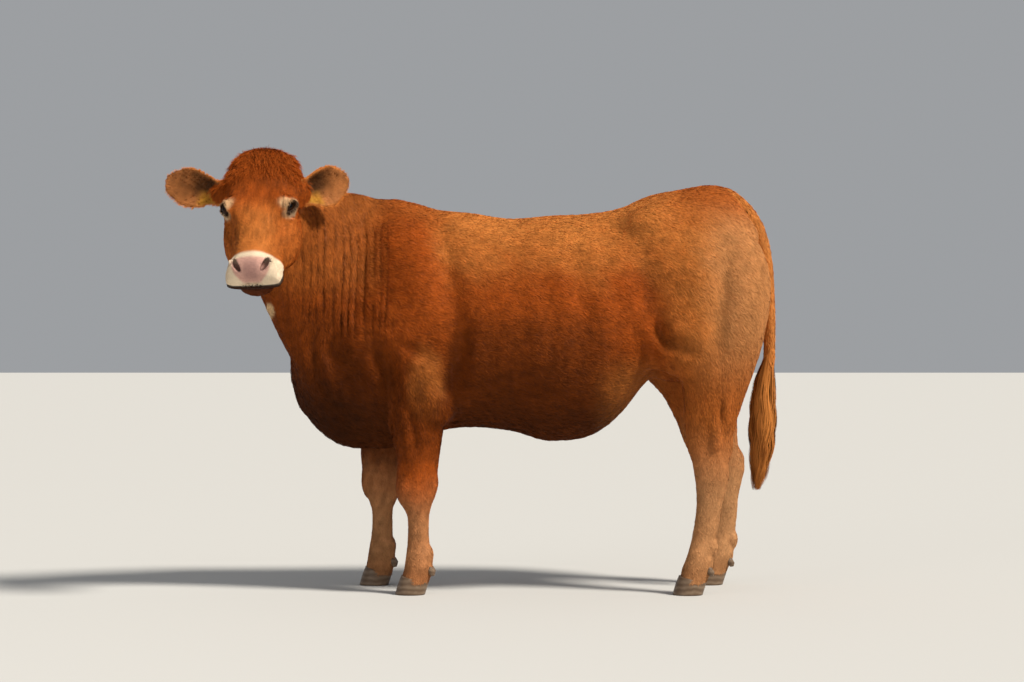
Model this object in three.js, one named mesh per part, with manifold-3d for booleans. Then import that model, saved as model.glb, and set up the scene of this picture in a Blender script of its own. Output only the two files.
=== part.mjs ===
// A young polled beef cow, standing square with her head turned to the left and level.
// Millimetres. X runs from the head to the tail, the animal's left side is -Y, Z is up.
// The body is one soft blend of lofts and ellipsoids, parted into solids by thin plane cuts.
import * as THREE from 'three';
import { mergeVertices } from 'three/addons/utils/BufferGeometryUtils.js';
import Module from 'manifold-3d';

const library = await Module();
library.setup();

const gap = 0.3; // clearance between neighbouring solids
const eyeRadius = 20;
const earWidth = 67; // half the width of the ear's widest part
const earThickness = 5; // half the thickness of the ear leaf
const earCup = 34; // how deep the ear is cupped
const headTilt = 38; // the face leans back this far from upright
const headYaw = 6;
const headRoll = 2;
const faceCentre = new THREE.Vector3(-820, -465, 1304); // between the eyes, 200 down the face

// Stations of the trunk: x, top, bottom, half width, level of the widest part,
// squareness above and below that level.
const trunk = [
  [-742, 800, 705, 24, 742, 2, 1.8],
  [-722, 868, 632, 66, 745, 2, 1.7],
  [-685, 940, 575, 108, 748, 2, 1.6],
  [-610, 1062, 506, 160, 775, 2, 1.6],
  [-520, 1200, 480, 204, 822, 1.9, 1.7],
  [-440, 1285, 478, 234, 860, 1.8, 1.9],
  [-360, 1306, 500, 254, 880, 1.75, 2.1],
  [-250, 1280, 535, 268, 885, 1.9, 2.3],
  [-140, 1268, 548, 285, 875, 2.1, 2.3],
  [0, 1249, 535, 303, 860, 2.2, 2.2],
  [130, 1260, 503, 318, 845, 2.2, 2.1],
  [260, 1267, 520, 314, 860, 2.2, 2.1],
  [360, 1284, 590, 290, 900, 2.3, 2.1],
  [460, 1325, 712, 262, 980, 2.4, 2.1],
  [560, 1345, 760, 240, 1020, 2.4, 2.2],
  [660, 1360, 750, 218, 1020, 2.3, 2.2],
  [740, 1328, 745, 185, 1010, 2.1, 2.2],
  [795, 1250, 790, 140, 1010, 2, 2.2],
  [825, 1150, 860, 85, 1000, 2, 2],
  [838, 1090, 910, 20, 1000, 2, 2],
];
// Stations of the neck, which bends to the left: x, y, then as the trunk from the top on.
const neck = [
  [-400, 0, 1290, 520, 150, 900, 1.7, 2],
  [-500, -12, 1328, 520, 168, 900, 1.7, 1.8],
  [-600, -62, 1338, 568, 158, 960, 1.7, 1.7],
  [-680, -130, 1350, 700, 140, 1040, 1.8, 1.6],
  [-738, -205, 1376, 830, 122, 1130, 1.9, 1.6],
  [-772, -280, 1375, 950, 104, 1190, 2, 1.8],
  [-792, -345, 1340, 1075, 78, 1215, 2, 2],
];
// Level sections of the near legs: z, front, back, outer side, inner side, squareness.
const hindLeg = [
  [1275, 500, 720, -100, -150, 2],
  [1230, 470, 755, -80, -205, 2],
  [1150, 450, 792, -60, -252, 2.1],
  [1050, 445, 826, -45, -272, 2.3],
  [975, 450, 836, -38, -277, 2.3],
  [842, 500, 832, -40, -268, 2.2],
  [737, 550, 802, -62, -250, 2.1],
  [644, 566, 768, -95, -236, 2.1],
  [564, 571, 741, -118, -224, 2.1],
  [485, 580, 724, -130, -216, 2.2],
  [438, 596, 716, -134, -218, 2.3],
  [400, 603, 716, -136, -218, 2.3],
  [356, 609, 710, -140, -212, 2.2],
  [300, 611, 696, -146, -206, 2.1],
  [250, 606, 688, -148, -204, 2.1],
  [170, 592, 672, -146, -206, 2.1],
  [120, 578, 667, -134, -218, 2.2],
  [90, 566, 662, -130, -221, 2.2],
  [60, 558, 650, -130, -222, 2.2],
  [35, 548, 640, -126, -226, 2.2],
];
const foreLeg = [
  [1010, -470, -330, -120, -200, 2],
  [950, -500, -290, -100, -238, 2],
  [860, -500, -240, -85, -254, 2.1],
  [760, -478, -208, -80, -254, 2.2],
  [644, -425, -202, -82, -242, 2.2],
  [545, -403, -226, -95, -230, 2.1],
  [459, -382, -240, -104, -218, 2.1],
  [378, -377, -250, -110, -212, 2.2],
  [337, -374, -252, -110, -214, 2.3],
  [297, -364, -266, -115, -210, 2.3],
  [257, -346, -275, -125, -200, 2.1],
  [218, -344, -276, -128, -197, 2.1],
  [160, -346, -273, -126, -198, 2.1],
  [119, -351, -266, -118, -206, 2.2],
  [85, -356, -263, -115, -210, 2.3],
  [55, -364, -272, -114, -212, 2.3],
  [35, -370, -278, -112, -214, 2.2],
];
// The far legs mirror the near ones, with each section moved along x: front and back.
const farHindShift = [
  [0, 0], [0, 0], [0, 0], [0, 0], [-5, 0], [-30, 0], [-102, 10],
  [-48, 22], [-11, 31], [12, 50], [22, 79], [37, 81], [59, 78], [81, 80],
  [88, 84], [92, 92], [92, 93], [92, 94], [90, 92], [90, 92],
];
const farForeShift = [
  0, 0, -10, -25, -60, -110, -136, -132, -130, -128, -134, -134, -136, -138, -138, -136, -134,
];
// Tail and switch: x, y, z, half width, half depth.
const tail = [
  [650, 0, 1322, 52, 30],
  [712, 0, 1318, 46, 34],
  [765, 0, 1286, 37, 32],
  [806, 0, 1238, 32, 30],
  [834, 0, 1176, 28, 27],
  [852, 0, 1100, 25, 24],
  [862, 0, 1000, 22, 22],
  [867, 0, 900, 21, 20],
  [867, 0, 800, 22, 21],
];
const tailSwitch = [
  [866, 0, 810, 22, 22],
  [860, 0, 758, 26, 29],
  [854, 0, 730, 32, 37],
  [849, 0, 695, 36, 41],
  [845, 0, 607, 40, 45],
  [843, 0, 540, 40, 45],
  [841, 0, 476, 36, 41],
  [831, 0, 378, 24, 27],
  [823, 0, 325, 9, 9],
];
// Sections across the head, counted down the face from the poll:
// distance, height of the face, depth of the underside, half width, widest depth, squareness.
const skull = [
  [-30, -60, -120, 56, -90, 2, 2],
  [-12, -22, -150, 84, -80, 1.9, 2],
  [15, -2, -175, 106, -70, 1.9, 2],
  [60, 8, -200, 119, -68, 2.1, 2],
  [120, 6, -215, 114, -70, 2.3, 2],
  [180, 0, -225, 110, -72, 2.4, 2],
  [240, -6, -215, 103, -85, 2.3, 2.1],
  [300, -10, -200, 93, -100, 2.1, 2.2],
  [360, -12, -180, 82, -100, 2, 2.2],
  [410, -14, -160, 74, -95, 2, 2.1],
  [440, -26, -152, 70, -90, 2.2, 2.1],
  [462, -50, -146, 62, -95, 2.2, 2.2],
];
const jaw = [
  [110, -90, -205, 66, -150, 2, 2],
  [150, -82, -228, 92, -150, 2.2, 2],
  [200, -76, -242, 108, -152, 2.3, 2],
  [255, -76, -240, 114, -154, 2.3, 2],
  [310, -84, -226, 104, -152, 2.2, 2],
  [360, -92, -206, 86, -150, 2.1, 2],
  [410, -100, -188, 66, -146, 2.1, 2.1],
  [442, -110, -180, 57, -148, 2.2, 2.2],
  [462, -122, -174, 47, -150, 2.2, 2.2],
  [474, -134, -166, 26, -150, 2, 2],
];
const muzzle = [
  [372, -16, -120, 62, -88, 2.1, 2.3],
  [405, -10, -132, 72, -98, 2.2, 2.5],
  [430, -10, -134, 84, -102, 2.3, 2.8],
  [452, -18, -132, 91, -106, 2.4, 3],
  [470, -36, -127, 89, -104, 2.4, 3.2],
  [482, -58, -120, 76, -98, 2.3, 2.8],
  [487, -76, -108, 44, -94, 2, 2],
];
// Muscle and bone on both sides: centre, radii, blend, turn in degrees, 1 for a hollow.
const forms = [
  [[470, 180, 1225], [62, 38, 42], 80, [0, 0, 0], 0], // hook bone
  [[768, 92, 1190], [50, 38, 50], 60, [0, 0, 0], 0], // pin bone
  [[735, 180, 1000], [108, 86, 190], 60, [0, 8, 0], 0], // back of the thigh
  [[570, 210, 850], [78, 50, 98], 70, [0, 0, 0], 0], // stifle
  [[505, 170, 808], [84, 32, 70], 60, [0, 24, 0], 0], // fold of the flank
  [[400, 330, 1180], [85, 52, 58], 60, [0, 0, 0], 1], // hollow in front of the hook
  [[-335, 170, 1040], [95, 54, 170], 90, [14, -18, 0], 0], // shoulder blade
  [[-515, 142, 830], [70, 62, 84], 80, [0, 0, 0], 0], // point of the shoulder
  [[-240, 212, 640], [46, 34, 58], 50, [0, 0, 0], 0], // elbow
  [[-176, 300, 770], [30, 42, 140], 50, [0, 4, 0], 1], // crease behind the elbow
  [[-400, 274, 720], [28, 40, 110], 50, [0, -14, 0], 1], // crease in front of the arm
  [[540, 40, 752], [86, 46, 50], 40, [0, 0, 0], 0], // udder
];
const hindForms = [
  [[706, -176, 484], [20, 20, 38], 22, [0, 8, 0], 0],
  [[688, -138, 560], [14, 14, 80], 24, [0, 14, 0], 1],
  [[688, -222, 560], [14, 14, 80], 24, [0, 14, 0], 1],
  [[666, -176, 155], [14, 32, 24], 18, [0, 0, 0], 0],
];
const foreForms = [
  [[-361, -162, 352], [18, 36, 44], 26, [0, 0, 0], 0],
  [[-262, -162, 372], [14, 18, 26], 18, [0, 0, 0], 0],
  [[-278, -162, 135], [14, 32, 22], 18, [0, 0, 0], 0],
];
// The same on the head, in its own directions: across, down the face, out of the face.
const headForms = [
  [[0, 20, -42], [90, 50, 46], 30, [0, 0, 0], 0], // poll
  [[88, 200, -42], [36, 56, 38], 40, [0, 0, 0], 0], // brow
  [[84, 248, -146], [36, 96, 74], 34, [0, 0, 0], 0], // cheek
  [[96, 104, -92], [44, 50, 46], 30, [0, 0, 0], 0], // root of the ear
  [[98, 210, -44], [25, 26, 25], 12, [0, 0, 0], 0], // lids
  [[62, 416, -102], [28, 44, 30], 20, [0, 0, 0], 0], // side of the lip
  [[124, 150, -6], [26, 46, 26], 30, [0, 0, 12], 1], // temple
  [[100, 300, -34], [22, 70, 22], 40, [0, 0, 8], 1], // beside the nose bone
];

const clamp = (v, lo, hi) => Math.min(hi, Math.max(lo, v));
const radians = THREE.MathUtils.degToRad;

// Smooth interpolation of station rows by their first column, without overshoot.
function smoothRows(rows, steps) {
  const n = rows.length;
  const slope = (i, c) => (rows[i + 1][c] - rows[i][c]) / (rows[i + 1][0] - rows[i][0]);
  const tangents = rows.map((row, i) => row.map((_, c) => {
    if (c === 0) return 1;
    if (i === 0) return slope(0, c);
    if (i === n - 1) return slope(n - 2, c);
    const before = slope(i - 1, c);
    const after = slope(i, c);
    if (before * after < 0 || (before === 0) !== (after === 0)) return 0;
    const share = (rows[i][0] - rows[i - 1][0]) / (rows[i + 1][0] - rows[i - 1][0]);
    const limit = 3 * Math.min(Math.abs(before), Math.abs(after));
    return clamp(before * (1 - share) + after * share, -limit, limit);
  }));
  const out = [];
  for (let i = 0; i < n - 1; i++) {
    const span = rows[i + 1][0] - rows[i][0];
    for (let k = 0; k < steps; k++) {
      const s = k / steps;
      const a = 2 * s ** 3 - 3 * s ** 2 + 1;
      const b = (s ** 3 - 2 * s ** 2 + s) * span;
      const c = 3 * s ** 2 - 2 * s ** 3;
      const d = (s ** 3 - s ** 2) * span;
      out.push(rows[i].map((v, j) =>
        a * v + b * tangents[i][j] + c * rows[i + 1][j] + d * tangents[i + 1][j]));
    }
  }
  out.push(rows[n - 1].slice());
  return out;
}

function rowAt(rows, t) {
  const n = rows.length;
  if (t <= rows[0][0]) return rows[0];
  if (t >= rows[n - 1][0]) return rows[n - 1];
  let i = 0;
  while (rows[i + 1][0] < t) i++;
  const s = (t - rows[i][0]) / (rows[i + 1][0] - rows[i][0]);
  return rows[i].map((v, j) => v + (rows[i + 1][j] - v) * s);
}

// Distance, to first order, from a rounded section with half sizes ru and rv.
function sectionDistance(u, v, ru, rv, power) {
  const a = Math.max(Math.abs(u) / ru, 1e-4);
  const b = Math.max(Math.abs(v) / rv, 1e-4);
  const rho = (a ** power + b ** power) ** (1 / power);
  const pull = Math.hypot(a ** (power - 1) / ru, b ** (power - 1) / rv);
  const gradient = Math.max(rho ** (1 - power) * pull, 1 / Math.max(ru, rv));
  return (rho - 1) / gradient;
}

const capped = (d, over) => (over > 0.5 ? Math.hypot(Math.max(d, 0), over) : d);

function blendUnion(a, b, k) {
  const h = Math.max(k - Math.abs(a - b), 0) / k;
  return Math.min(a, b) - h * h * k * 0.25;
}

// Upright sections along a path in plan: [x, y, top, bottom, half, widest level, above, below].
function pathLoft(rows, blend) {
  let run = 0;
  const stations = rows.map((row, i) => {
    if (i > 0) run += Math.hypot(row[0] - rows[i - 1][0], row[1] - rows[i - 1][1]);
    return [run, ...row];
  });
  const dense = smoothRows(stations, 6);
  const last = dense.length - 2;
  const distance = (x, y, z) => {
    let best = Infinity;
    let found = null;
    for (let i = 0; i <= last; i++) {
      const a = dense[i];
      const b = dense[i + 1];
      const length = Math.hypot(b[1] - a[1], b[2] - a[2]);
      const ex = (b[1] - a[1]) / length;
      const ey = (b[2] - a[2]) / length;
      const along = (x - a[1]) * ex + (y - a[2]) * ey;
      const t = clamp(along / length, 0, 1);
      const side = (y - a[2]) * ex - (x - a[1]) * ey;
      const over = along - t * length;
      const d = side * side + over * over;
      if (d >= best - 1e-9) continue;
      best = d;
      const end = (i === 0 && along < 0) || (i === last && along > length);
      found = { a, b, t, side: end ? side : Math.sqrt(d), over: end ? Math.abs(over) : 0 };
    }
    const [top, bottom, half, level, above, below] = found.a.slice(3)
      .map((v, j) => v + (found.b[j + 3] - v) * found.t);
    const upper = z > level;
    const reach = upper ? top - level : level - bottom;
    const d = sectionDistance(found.side, z - level, half, reach, upper ? above : below);
    return capped(d, found.over);
  };
  return { distance, blend };
}

// Level sections one above the other: [z, front, back, side, side, power].
function levelLoft(rows, blend) {
  const dense = smoothRows([...rows].sort((a, b) => a[0] - b[0]), 6);
  const distance = (x, y, z) => {
    const row = rowAt(dense, z);
    const d = sectionDistance(x - (row[1] + row[2]) / 2, y - (row[3] + row[4]) / 2,
      Math.abs(row[2] - row[1]) / 2, Math.abs(row[4] - row[3]) / 2, row[5]);
    return capped(d, Math.max(dense[0][0] - z, z - dense[dense.length - 1][0], 0));
  };
  return { distance, blend, rows: dense };
}

// The head's own directions: across to its left, down the face and out of the face.
const forward = new THREE.Vector3(-Math.sin(radians(headYaw)), -Math.cos(radians(headYaw)), 0);
const level = new THREE.Vector3(Math.cos(radians(headYaw)), -Math.sin(radians(headYaw)), 0);
const up = new THREE.Vector3(0, 0, 1);
const across = level.clone().multiplyScalar(Math.cos(radians(headRoll)))
  .addScaledVector(up, Math.sin(radians(headRoll)));
const down = forward.clone().multiplyScalar(Math.sin(radians(headTilt)))
  .addScaledVector(up, -Math.cos(radians(headTilt)));
down.addScaledVector(across, -down.dot(across)).normalize();
const out = new THREE.Vector3().crossVectors(across, down);
if (out.dot(forward) < 0) out.negate();

function headPoint(s, a, d) {
  return faceCentre.clone().addScaledVector(across, s).addScaledVector(down, a - 200)
    .addScaledVector(out, d);
}

function headLoft(rows, blend) {
  const dense = smoothRows(rows, 6);
  const distance = (x, y, z) => {
    const q = new THREE.Vector3(x, y, z).sub(faceCentre);
    const s = q.dot(across);
    const a = q.dot(down) + 200;
    const d = q.dot(out);
    const [, top, bottom, half, widest, above, below] = rowAt(dense, a);
    const upper = d > widest;
    const reach = upper ? top - widest : widest - bottom;
    const value = sectionDistance(s, d - widest, half, reach, upper ? above : below);
    return capped(value, Math.max(dense[0][0] - a, a - dense[dense.length - 1][0], 0));
  };
  return { distance, blend };
}

// An ellipsoid added to or taken from the blend, turned about x, y and z in its frame.
function ellipsoid(centre, radii, blend, turn, hollow, frame) {
  const euler = new THREE.Euler(...turn.map(radians), 'ZYX');
  const matrix = new THREE.Matrix4().makeRotationFromEuler(euler);
  if (frame) matrix.premultiply(frame);
  const back = matrix.clone().transpose();
  const distance = (x, y, z) => {
    const q = new THREE.Vector3(x, y, z).sub(centre).applyMatrix4(back);
    const near = Math.hypot(q.x / radii[0], q.y / radii[1], q.z / radii[2]);
    const pull = Math.hypot(q.x / radii[0] ** 2, q.y / radii[1] ** 2, q.z / radii[2] ** 2);
    return pull > 1e-9 ? near * (near - 1) / pull : -Math.min(...radii);
  };
  const reach = Math.max(...radii) + blend + 60;
  return { distance, blend, hollow, centre, reach };
}

function field(pieces) {
  return (x, y, z) => {
    let value = 400;
    for (const piece of pieces) {
      const c = piece.centre;
      if (c && Math.hypot(x - c.x, y - c.y, z - c.z) > piece.reach) continue;
      const d = piece.distance(x, y, z);
      value = piece.hollow ? -blendUnion(-value, d, piece.blend)
        : blendUnion(value, d, piece.blend);
    }
    return value;
  };
}

const shiftOf = (rows, shifts) => rows.map((row, i) => [row[0], ...shifts[i]])
  .sort((a, b) => a[0] - b[0]);
const mirrorLeg = (rows, shifts) => rows.map(([z, front, back, o, i, power], k) =>
  [z, front + shifts[k][0], back + shifts[k][1], -o, -i, power]);
const foreShift = farForeShift.map((v) => [v, v]);
const legs = {
  hind_left: levelLoft(hindLeg, 46),
  hind_right: levelLoft(mirrorLeg(hindLeg, farHindShift), 46),
  fore_left: levelLoft(foreLeg, 40),
  fore_right: levelLoft(mirrorLeg(foreLeg, foreShift), 40),
};

function legForms(list, shifts) {
  return list.flatMap(([centre, radii, blend, turn, hollow]) => {
    const [, front, back] = rowAt(shifts, centre[2]);
    const far = new THREE.Vector3(centre[0] + (front + back) / 2, -centre[1], centre[2]);
    return [ellipsoid(new THREE.Vector3(...centre), radii, blend, turn, hollow),
      ellipsoid(far, radii, blend, turn, hollow)];
  });
}

const hindBones = legForms(hindForms, shiftOf(hindLeg, farHindShift));
const foreBones = legForms(foreForms, shiftOf(foreLeg, foreShift));

// Each leg alone, with its bones, for the pieces below the trunk.
const shapes = Object.fromEntries(Object.entries(legs).map(([name, leg], i) => {
  const bones = (i < 2 ? hindBones : foreBones).filter((_, k) => k % 2 === i % 2);
  return [name, { rows: leg.rows, distance: field([leg, ...bones]) }];
}));

const bodyForms = forms.flatMap(([centre, radii, blend, turn, hollow]) =>
  [-1, 1].map((side) => ellipsoid(new THREE.Vector3(centre[0], side * centre[1], centre[2]),
    radii, blend, [side * turn[0], turn[1], side * turn[2]], hollow)));

// Each ear runs from its root to its tip and opens towards its facing.
const earPlaces = {
  ear_left: earAxes(new THREE.Vector3(-692.4, -375, 1314.5),
    new THREE.Vector3(-535.5, -262, 1367.9), new THREE.Vector3(0.45, -0.9, -0.12)),
  ear_right: earAxes(new THREE.Vector3(-928.4, -345, 1315.6),
    new THREE.Vector3(-1131.9, -300, 1358.1), new THREE.Vector3(-0.15, -1, -0.12)),
};

function earAxes(root, tip, facing) {
  const along = tip.clone().sub(root);
  const length = along.length();
  along.normalize();
  const normal = facing.clone().addScaledVector(along, -facing.dot(along)).normalize();
  const width = new THREE.Vector3().crossVectors(normal, along);
  return { root, along, length, normal, width };
}

const earStalks = Object.values(earPlaces).map(({ root, along, width, normal }) =>
  ellipsoid(root.clone().addScaledVector(along, 6).addScaledVector(normal, -12),
    [46, 40, 22], 14, [0, 0, 0], 0, new THREE.Matrix4().makeBasis(along, width, normal)));

const headFrame = new THREE.Matrix4().makeBasis(across, down, out);
const headPieces = headForms.flatMap(([centre, radii, blend, turn, hollow]) =>
  (centre[0] === 0 ? [1] : [1, -1]).map((side) =>
    ellipsoid(headPoint(side * centre[0], centre[1], centre[2]), radii, blend,
      [turn[0], side * turn[1], side * turn[2]], hollow, headFrame)));

const tailRoot = pathLoft([[650, 0, 1352, 1292, 52, 1322, 2, 2],
  [712, 0, 1352, 1284, 46, 1318, 2, 2], [770, 0, 1318, 1250, 37, 1284, 2, 2]], 14);
const body = field([
  pathLoft(trunk.map(([x, ...rest]) => [x, 0, ...rest]), 60),
  pathLoft(neck, 70),
  ...Object.values(legs),
  ...bodyForms,
  ...hindBones,
  ...foreBones,
  tailRoot,
  headLoft(skull, 30),
  headLoft(jaw, 24),
  headLoft(muzzle, 16),
  ...headPieces,
  ...earStalks,
]);

// ---- solids

function toSolid(points, triangles) {
  return new library.Manifold(new library.Mesh({
    numProp: 3,
    vertProperties: new Float32Array(points.flat()),
    triVerts: new Uint32Array(triangles.flat()),
  }));
}

function geometrySolid(geometry, matrix) {
  geometry.deleteAttribute('normal');
  geometry.deleteAttribute('uv');
  const merged = mergeVertices(geometry, 1e-4);
  if (matrix) merged.applyMatrix4(matrix);
  if (matrix && matrix.determinant() < 0) merged.index.array.reverse(); // a mirrored frame
  return new library.Manifold(new library.Mesh({
    numProp: 3,
    vertProperties: new Float32Array(merged.attributes.position.array),
    triVerts: new Uint32Array(merged.index.array),
  }));
}

// The field's surface inside a box, as a closed net of small faces, one vertex per cell.
function netSolid(fn, lo, hi, cell) {
  const n = lo.map((v, i) => Math.ceil((hi[i] - v) / cell) + 1);
  const values = new Float32Array(n[0] * n[1] * n[2]);
  const at = (i, j, k) => (i * n[1] + j) * n[2] + k;
  for (let i = 0; i < n[0]; i++) {
    for (let j = 0; j < n[1]; j++) {
      for (let k = 0; k < n[2]; k++) {
        const edge = i * j * k === 0 || i === n[0] - 1 || j === n[1] - 1 || k === n[2] - 1;
        values[at(i, j, k)] = edge ? cell
          : fn(lo[0] + i * cell, lo[1] + j * cell, lo[2] + k * cell);
      }
    }
  }
  const ids = new Int32Array(values.length).fill(-1);
  const points = [];
  const corner = [[0, 0, 0], [1, 0, 0], [0, 1, 0], [1, 1, 0],
    [0, 0, 1], [1, 0, 1], [0, 1, 1], [1, 1, 1]];
  const edges = [[0, 1], [2, 3], [4, 5], [6, 7], [0, 2], [1, 3],
    [4, 6], [5, 7], [0, 4], [1, 5], [2, 6], [3, 7]];
  for (let i = 0; i < n[0] - 1; i++) {
    for (let j = 0; j < n[1] - 1; j++) {
      for (let k = 0; k < n[2] - 1; k++) {
        const v = corner.map(([a, b, c]) => values[at(i + a, j + b, k + c)]);
        const inside = v.filter((value) => value < 0).length;
        if (inside === 0 || inside === 8) continue;
        const sum = [0, 0, 0];
        let count = 0;
        for (const [a, b] of edges) {
          if ((v[a] < 0) === (v[b] < 0)) continue;
          const t = v[a] / (v[a] - v[b]);
          sum.forEach((_, axis) => {
            sum[axis] += corner[a][axis] + (corner[b][axis] - corner[a][axis]) * t;
          });
          count++;
        }
        ids[at(i, j, k)] = points.length;
        const start = [i, j, k].map((g, axis) => lo[axis] + (g + sum[axis] / count) * cell);
        const onEdge = [i, j, k].some((g, axis) => g === 0 || g === n[axis] - 2);
        points.push(onEdge ? start : snapped(fn, start, cell * 0.6));
      }
    }
  }
  const triangles = [];
  const length = (a, b) => Math.hypot(...points[a].map((v, i) => v - points[b][i]));
  for (let i = 0; i < n[0] - 1; i++) {
    for (let j = 0; j < n[1] - 1; j++) {
      for (let k = 0; k < n[2] - 1; k++) {
        for (let axis = 0; axis < 3; axis++) {
          const step = [0, 1, 2].map((a) => (a === axis ? 1 : 0));
          const g = [i, j, k];
          const [p, q] = [(axis + 1) % 3, (axis + 2) % 3];
          if (g[p] === 0 || g[q] === 0) continue;
          const a = values[at(i, j, k)] < 0;
          const b = values[at(i + step[0], j + step[1], k + step[2])] < 0;
          if (a === b) continue;
          const cellId = (dp, dq) => {
            const c = g.slice();
            c[p] -= dp;
            c[q] -= dq;
            return ids[at(...c)];
          };
          let quad = [cellId(1, 1), cellId(0, 1), cellId(0, 0), cellId(1, 0)];
          if (b) quad = quad.reverse();
          if (length(quad[0], quad[2]) < length(quad[1], quad[3])) {
            triangles.push([quad[0], quad[1], quad[2]], [quad[0], quad[2], quad[3]]);
          } else {
            triangles.push([quad[0], quad[1], quad[3]], [quad[1], quad[2], quad[3]]);
          }
        }
      }
    }
  }
  return toSolid(points, triangles);
}

// Moves a point onto the field's surface along the gradient.
function snapped(fn, point, limit) {
  let p = point;
  for (let pass = 0; pass < 3; pass++) {
    const value = fn(...p);
    const slope = [0, 1, 2].map((axis) => {
      const q = p.slice();
      q[axis] += 1;
      return fn(...q) - value;
    });
    const square = Math.max(slope[0] ** 2 + slope[1] ** 2 + slope[2] ** 2, 0.1);
    p = p.map((v, i) => v - value * slope[i] / square);
  }
  const moved = Math.hypot(...p.map((v, i) => v - point[i]));
  if (moved <= limit) return p;
  return point.map((v, i) => v + (p[i] - v) * limit / moved);
}

// A box by its corners, or one laid on a plane: everything beyond the point along the normal.
function box(lo, hi) {
  const size = hi.map((v, i) => v - lo[i]);
  const middle = hi.map((v, i) => (v + lo[i]) / 2);
  return geometrySolid(new THREE.BoxGeometry(...size),
    new THREE.Matrix4().makeTranslation(...middle));
}

function beyond(point, normal, offset = 0, size = 3000, breadth = size) {
  const n = normal.clone().normalize();
  const turn = new THREE.Matrix4().makeRotationFromQuaternion(
    new THREE.Quaternion().setFromUnitVectors(up, n));
  turn.setPosition(point.clone().addScaledVector(n, size / 2 + offset));
  return geometrySolid(new THREE.BoxGeometry(breadth, breadth, size), turn);
}

function headBox(lo, hi) {
  const size = hi.map((v, i) => v - lo[i]);
  const middle = hi.map((v, i) => (v + lo[i]) / 2);
  const matrix = headFrame.clone().setPosition(headPoint(...middle));
  return geometrySolid(new THREE.BoxGeometry(...size), matrix);
}

function ball(centre, radii, turn, columns, rows) {
  const matrix = turn.clone().scale(new THREE.Vector3(...radii));
  matrix.setPosition(centre);
  return geometrySolid(new THREE.SphereGeometry(1, columns, rows), matrix);
}

// A closed tube through rings of points: each ring keeps its own list, the ends are fans.
function ringSolid(rings) {
  const count = rings[0].length;
  const points = rings.flat();
  const triangles = [];
  for (let r = 0; r < rings.length - 1; r++) {
    for (let i = 0; i < count; i++) {
      const a = r * count + i;
      const b = r * count + (i + 1) % count;
      triangles.push([a, b, b + count], [a, b + count, a + count]);
    }
  }
  for (const [ring, flip] of [[0, true], [rings.length - 1, false]]) {
    const middle = [0, 1, 2].map((axis) =>
      rings[ring].reduce((sum, p) => sum + p[axis], 0) / count);
    points.push(middle);
    for (let i = 0; i < count; i++) {
      const a = ring * count + i;
      const b = ring * count + (i + 1) % count;
      triangles.push(flip ? [b, a, points.length - 1] : [a, b, points.length - 1]);
    }
  }
  const made = toSolid(points, triangles);
  return made.volume() > 0 ? made : toSolid(points, triangles.map((t) => t.reverse()));
}

// Oval tube along [x, y, z, half width, half depth] rows that lie in the plane y = 0.
function tailTube(rows, sides, grow = 0) {
  return ringSolid(rows.map((row, i) => {
    const before = rows[Math.max(i - 1, 0)];
    const after = rows[Math.min(i + 1, rows.length - 1)];
    const along = new THREE.Vector3(after[0] - before[0], 0, after[2] - before[2]).normalize();
    const depth = new THREE.Vector3(along.z, 0, -along.x);
    return Array.from({ length: sides }, (_, k) => {
      const angle = 2 * Math.PI * (k + 0.5) / sides;
      const wide = (row[3] + grow) * Math.cos(angle);
      const deep = (row[4] + grow) * Math.sin(angle);
      return [row[0] + depth.x * deep, row[1] + wide, row[2] + depth.z * deep];
    });
  }));
}

// ---- pieces

const coat = '#a5602c';
const group = new THREE.Group();

function add(name, made, colour, roughness) {
  const mesh = made.getMesh();
  const geometry = new THREE.BufferGeometry();
  geometry.setAttribute('position', new THREE.BufferAttribute(mesh.vertProperties, 3));
  geometry.setIndex(new THREE.BufferAttribute(mesh.triVerts, 1));
  const material = new THREE.MeshStandardMaterial({ color: colour, roughness, metalness: 0 });
  const piece = new THREE.Mesh(geometry, material);
  piece.name = name;
  group.add(piece);
}

// planes of the thin cuts
const nape = new THREE.Vector3(-766, -268, 1200);
const napeNormal = new THREE.Vector3(-0.41, -0.91, 0);
const withers = new THREE.Vector3(-430, 0, 1300);
const withersNormal = new THREE.Vector3(-0.894, 0, 0.447);
const groin = new THREE.Vector3(440, 0, 670);
const groinNormal = new THREE.Vector3(0.768, 0, -0.64);
const elbowTop = 600;
const elbowInside = 90;
const forearmReach = { left: [-455, -175], right: [-545, -215] };

const tailRows = smoothRows(tail.map((row) => [-row[2], ...row]), 1).map((row) => row.slice(1));
const hanging = tailRows.filter((row) => row[0] >= 765);
const tailSolid = tailTube(hanging, 10);
const tailSpace = tailTube(hanging.map((row, i) => (i === 0
  ? [row[0] - 0.24, row[1], row[2] + 0.18, row[3], row[4]] : row)), 10, gap);

// trunk and neck
let trunkSolid = netSolid(body, [-800, -370, 440], [930, 370, 1420], 85);
trunkSolid = trunkSolid.subtract(beyond(withers, withersNormal, -gap / 2));
trunkSolid = trunkSolid.subtract(beyond(groin, groinNormal, -gap / 2));
for (const [side, y0, y1] of [['left', -400, -elbowInside], ['right', elbowInside, 400]]) {
  const [x0, x1] = forearmReach[side];
  trunkSolid = trunkSolid.subtract(box([x0 - gap, y0, 300], [x1 + gap, y1, elbowTop + gap]));
}
add('trunk', trunkSolid.subtract(tailSpace), coat, 0.8);

const neckSolid = netSolid(body, [-1000, -420, 440], [-400, 300, 1460], 62)
  .intersect(beyond(withers, withersNormal, gap / 2))
  .subtract(beyond(nape, napeNormal, -gap / 2));
add('neck', neckSolid, coat, 0.8);

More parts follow.
